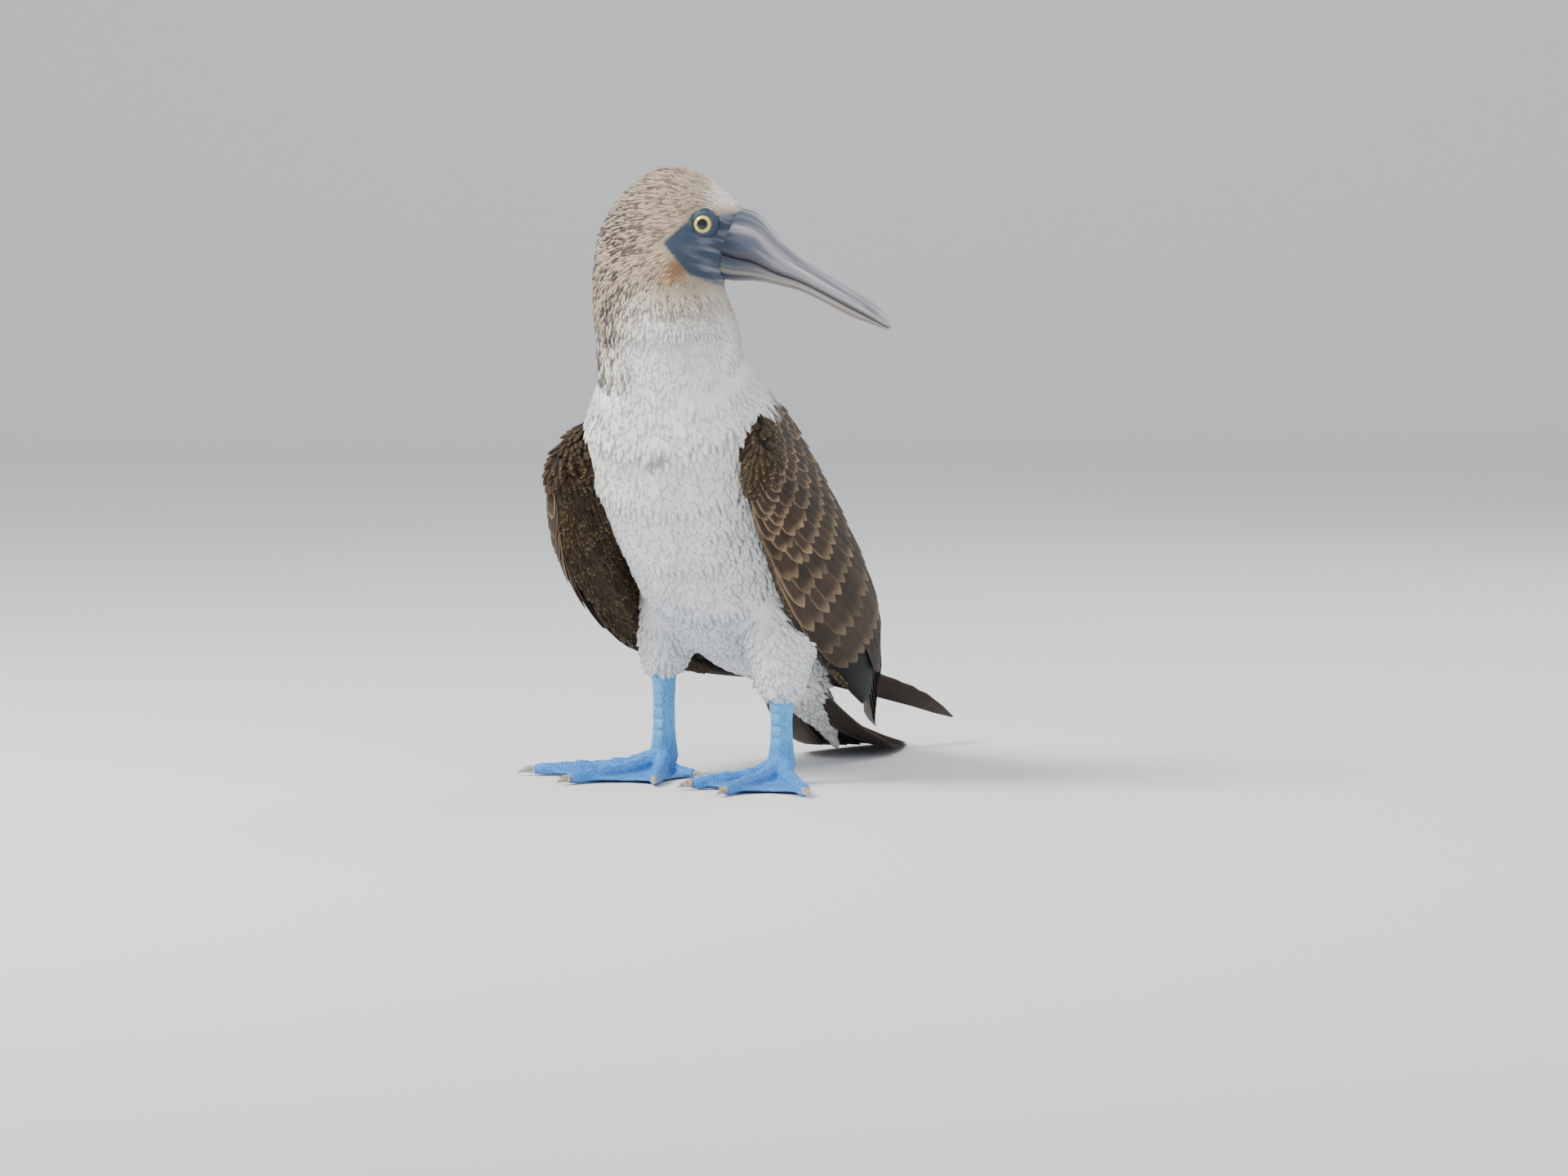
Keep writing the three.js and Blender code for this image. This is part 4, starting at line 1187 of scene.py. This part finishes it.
def bill_section(part, upper):
    """Points of one half section, from one edge of the mouth to the other."""
    f, ridge, mouth, keel, half = spline(BILL, part)
    for j in range(BILL_RING):
        angle = math.pi * j / (BILL_RING - 1)
        a = math.cos(angle)
        if upper:
            b = math.sin(angle) ** UPPER_ROUND
            z = mouth + MOUTH_GAP + (ridge - mouth - MOUTH_GAP) * b
            if 0.12 < abs(a) < 0.999:
                a *= 1 - UPPER_PINCH * b
        else:
            b = math.sin(angle) ** LOWER_ROUND
            z = mouth - MOUTH_GAP - (mouth - keel - MOUTH_GAP) * b
            a *= LOWER_NARROW
        yield head_point(f, z, a * half)


def make_bill(name, upper, material, node_name):
    verts, vane = [], []
    for i in range(BILL_ROWS + 1):
        part = i / BILL_ROWS
        verts += bill_section(BILL_START + (1 - BILL_START) * part, upper)
        vane += [(j / (BILL_RING - 1), part) for j in range(BILL_RING)]
    piece = new_piece(name, verts, tube_faces(BILL_ROWS + 1, BILL_RING), material, "bill")
    write_map(piece.data, "Vane", np.array(vane))
    turn_faces_out(piece)
    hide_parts(node_name)


EYE_RADIUS = 8.0 * MM


def make_eye(name, centre, axis):
    mesh = bmesh.new()
    bmesh.ops.create_uvsphere(mesh, u_segments=48, v_segments=32, radius=EYE_RADIUS)
    bmesh.ops.transform(mesh, matrix=Matrix.Translation(Vector(centre)), verts=mesh.verts)
    data = bpy.data.meshes.new(f"eye_ball_{name}")
    mesh.to_mesh(data)
    mesh.free()
    data.materials.append(eye_material(f"eye_{name}", centre, axis))
    piece = settle(f"eye_ball_{name}", data, "eye")
    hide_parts(f"eye_{name}")
    make_lid(name, centre, axis)


# Outline of the bare skin round the eye: distance from the eye's axis and along it
LID = (
    (5.2, 5.4), (5.5, 6.1), (6.1, 6.35), (6.9, 5.9), (8.0, 4.6), (9.4, 2.4), (9.4, 0.6), (6.0, 2.0))
LID_SIDES = 48


def make_lid(name, centre, axis):
    verts, faces = [], []
    side = unit(np.cross(UP, axis))
    profile = len(LID)
    for i in range(LID_SIDES):
        a = 2 * math.pi * i / LID_SIDES
        out = side * math.cos(a) + UP * math.sin(a)
        verts += [centre + (out * off + axis * along) * MM for off, along in LID]
        here, following = i * profile, ((i + 1) % LID_SIDES) * profile
        for j in range(profile):
            k = (j + 1) % profile
            faces.append((here + j, following + j, following + k, here + k))
    turn_faces_out(new_piece(f"eye_lid_{name}", verts, faces, BARE, "blue_skin"))


GRAIN = grain_group()
FEATHER = vane_group()
place_camera()
place_studio()
SKIN = plumage_material("feathered_skin", True)
COAT = plumage_material("body_feathers", False)
FLIGHT = flight_material(
    "flight_feather", (0.028, 0.019, 0.014, 1), (0.17, 0.125, 0.09, 1), 0.45, 0.35)
COVERT = flight_material(
    "covert_feather", (0.036, 0.023, 0.014, 1), (0.30, 0.20, 0.115, 1), 0.9, 0.95)
ARM = flight_material(
    "arm_feather", (0.045, 0.028, 0.013, 1), (0.46, 0.32, 0.14, 1), 1.0, 1.0)
CORE = flight_material(
    "wing_underlay", (0.035, 0.022, 0.015, 1), (0.1, 0.07, 0.05, 1), 0.0, 0.0)
BARE = bare_skin_material("bare_face_skin")
# Bill horn: dark grey, a pale streak colour that is partly painted highlight, and the pale tip
HORN = horn_material(
    "bill_horn", (0.15, 0.145, 0.19, 1), (0.52, 0.49, 0.48, 1), (0.62, 0.57, 0.49, 1))
HORN_LOWER = horn_material(
    "lower_bill_horn", (0.17, 0.16, 0.18, 1), (0.46, 0.40, 0.32, 1), (0.52, 0.44, 0.31, 1))
LEG = leg_material("leg_skin")
CLAW = claw_material("claw_horn", (0.26, 0.22, 0.18, 1), (0.50, 0.44, 0.36, 1))

# Voxel size and rounds of smoothing of the skins, and how far the body's skin is drawn in
BODY_VOXEL, BODY_ROUNDS, BODY_SHRINK = 1.8 * MM, 12, 1.0 * MM
LEG_VOXEL, LEG_ROUNDS = 0.9 * MM, 5
CLAW_VOXEL, CLAW_ROUNDS = 0.35 * MM, 3

skin = smooth_copy("skin", ["torso", "neck", "head", "thigh_left", "thigh_right"], SKIN,
                   BODY_VOXEL, BODY_ROUNDS, BODY_SHRINK)
skin_places, skin_normals = vertex_values(skin.data, "co"), vertex_values(skin.data, "normal")
write_marks(skin.data, marks_at(skin_places, skin_normals))
dress_body(skin)
for name, side in (("right", -1), ("left", 1)):
    make_wing(name, side)
    smooth_copy(f"leg_{name}", [f"tarsus_{name}", f"foot_{name}"], LEG,
                LEG_VOXEL, LEG_ROUNDS)
    for toe in ("hallux", "inner", "middle", "outer"):
        smooth_copy(f"nail_{name}_{toe}", [f"claw_{name}_{toe}"], CLAW,
                    CLAW_VOXEL, CLAW_ROUNDS)
make_tail()
make_bill("upper_bill", True, HORN, "bill_upper")
make_bill("lower_bill", False, HORN_LOWER, "bill_lower")
make_eye("right", eye_right, head_right)
make_eye("left", eye_left, -head_right)

final_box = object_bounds()
[[list(corner) for corner in box] for box in (cad_box, final_box)]
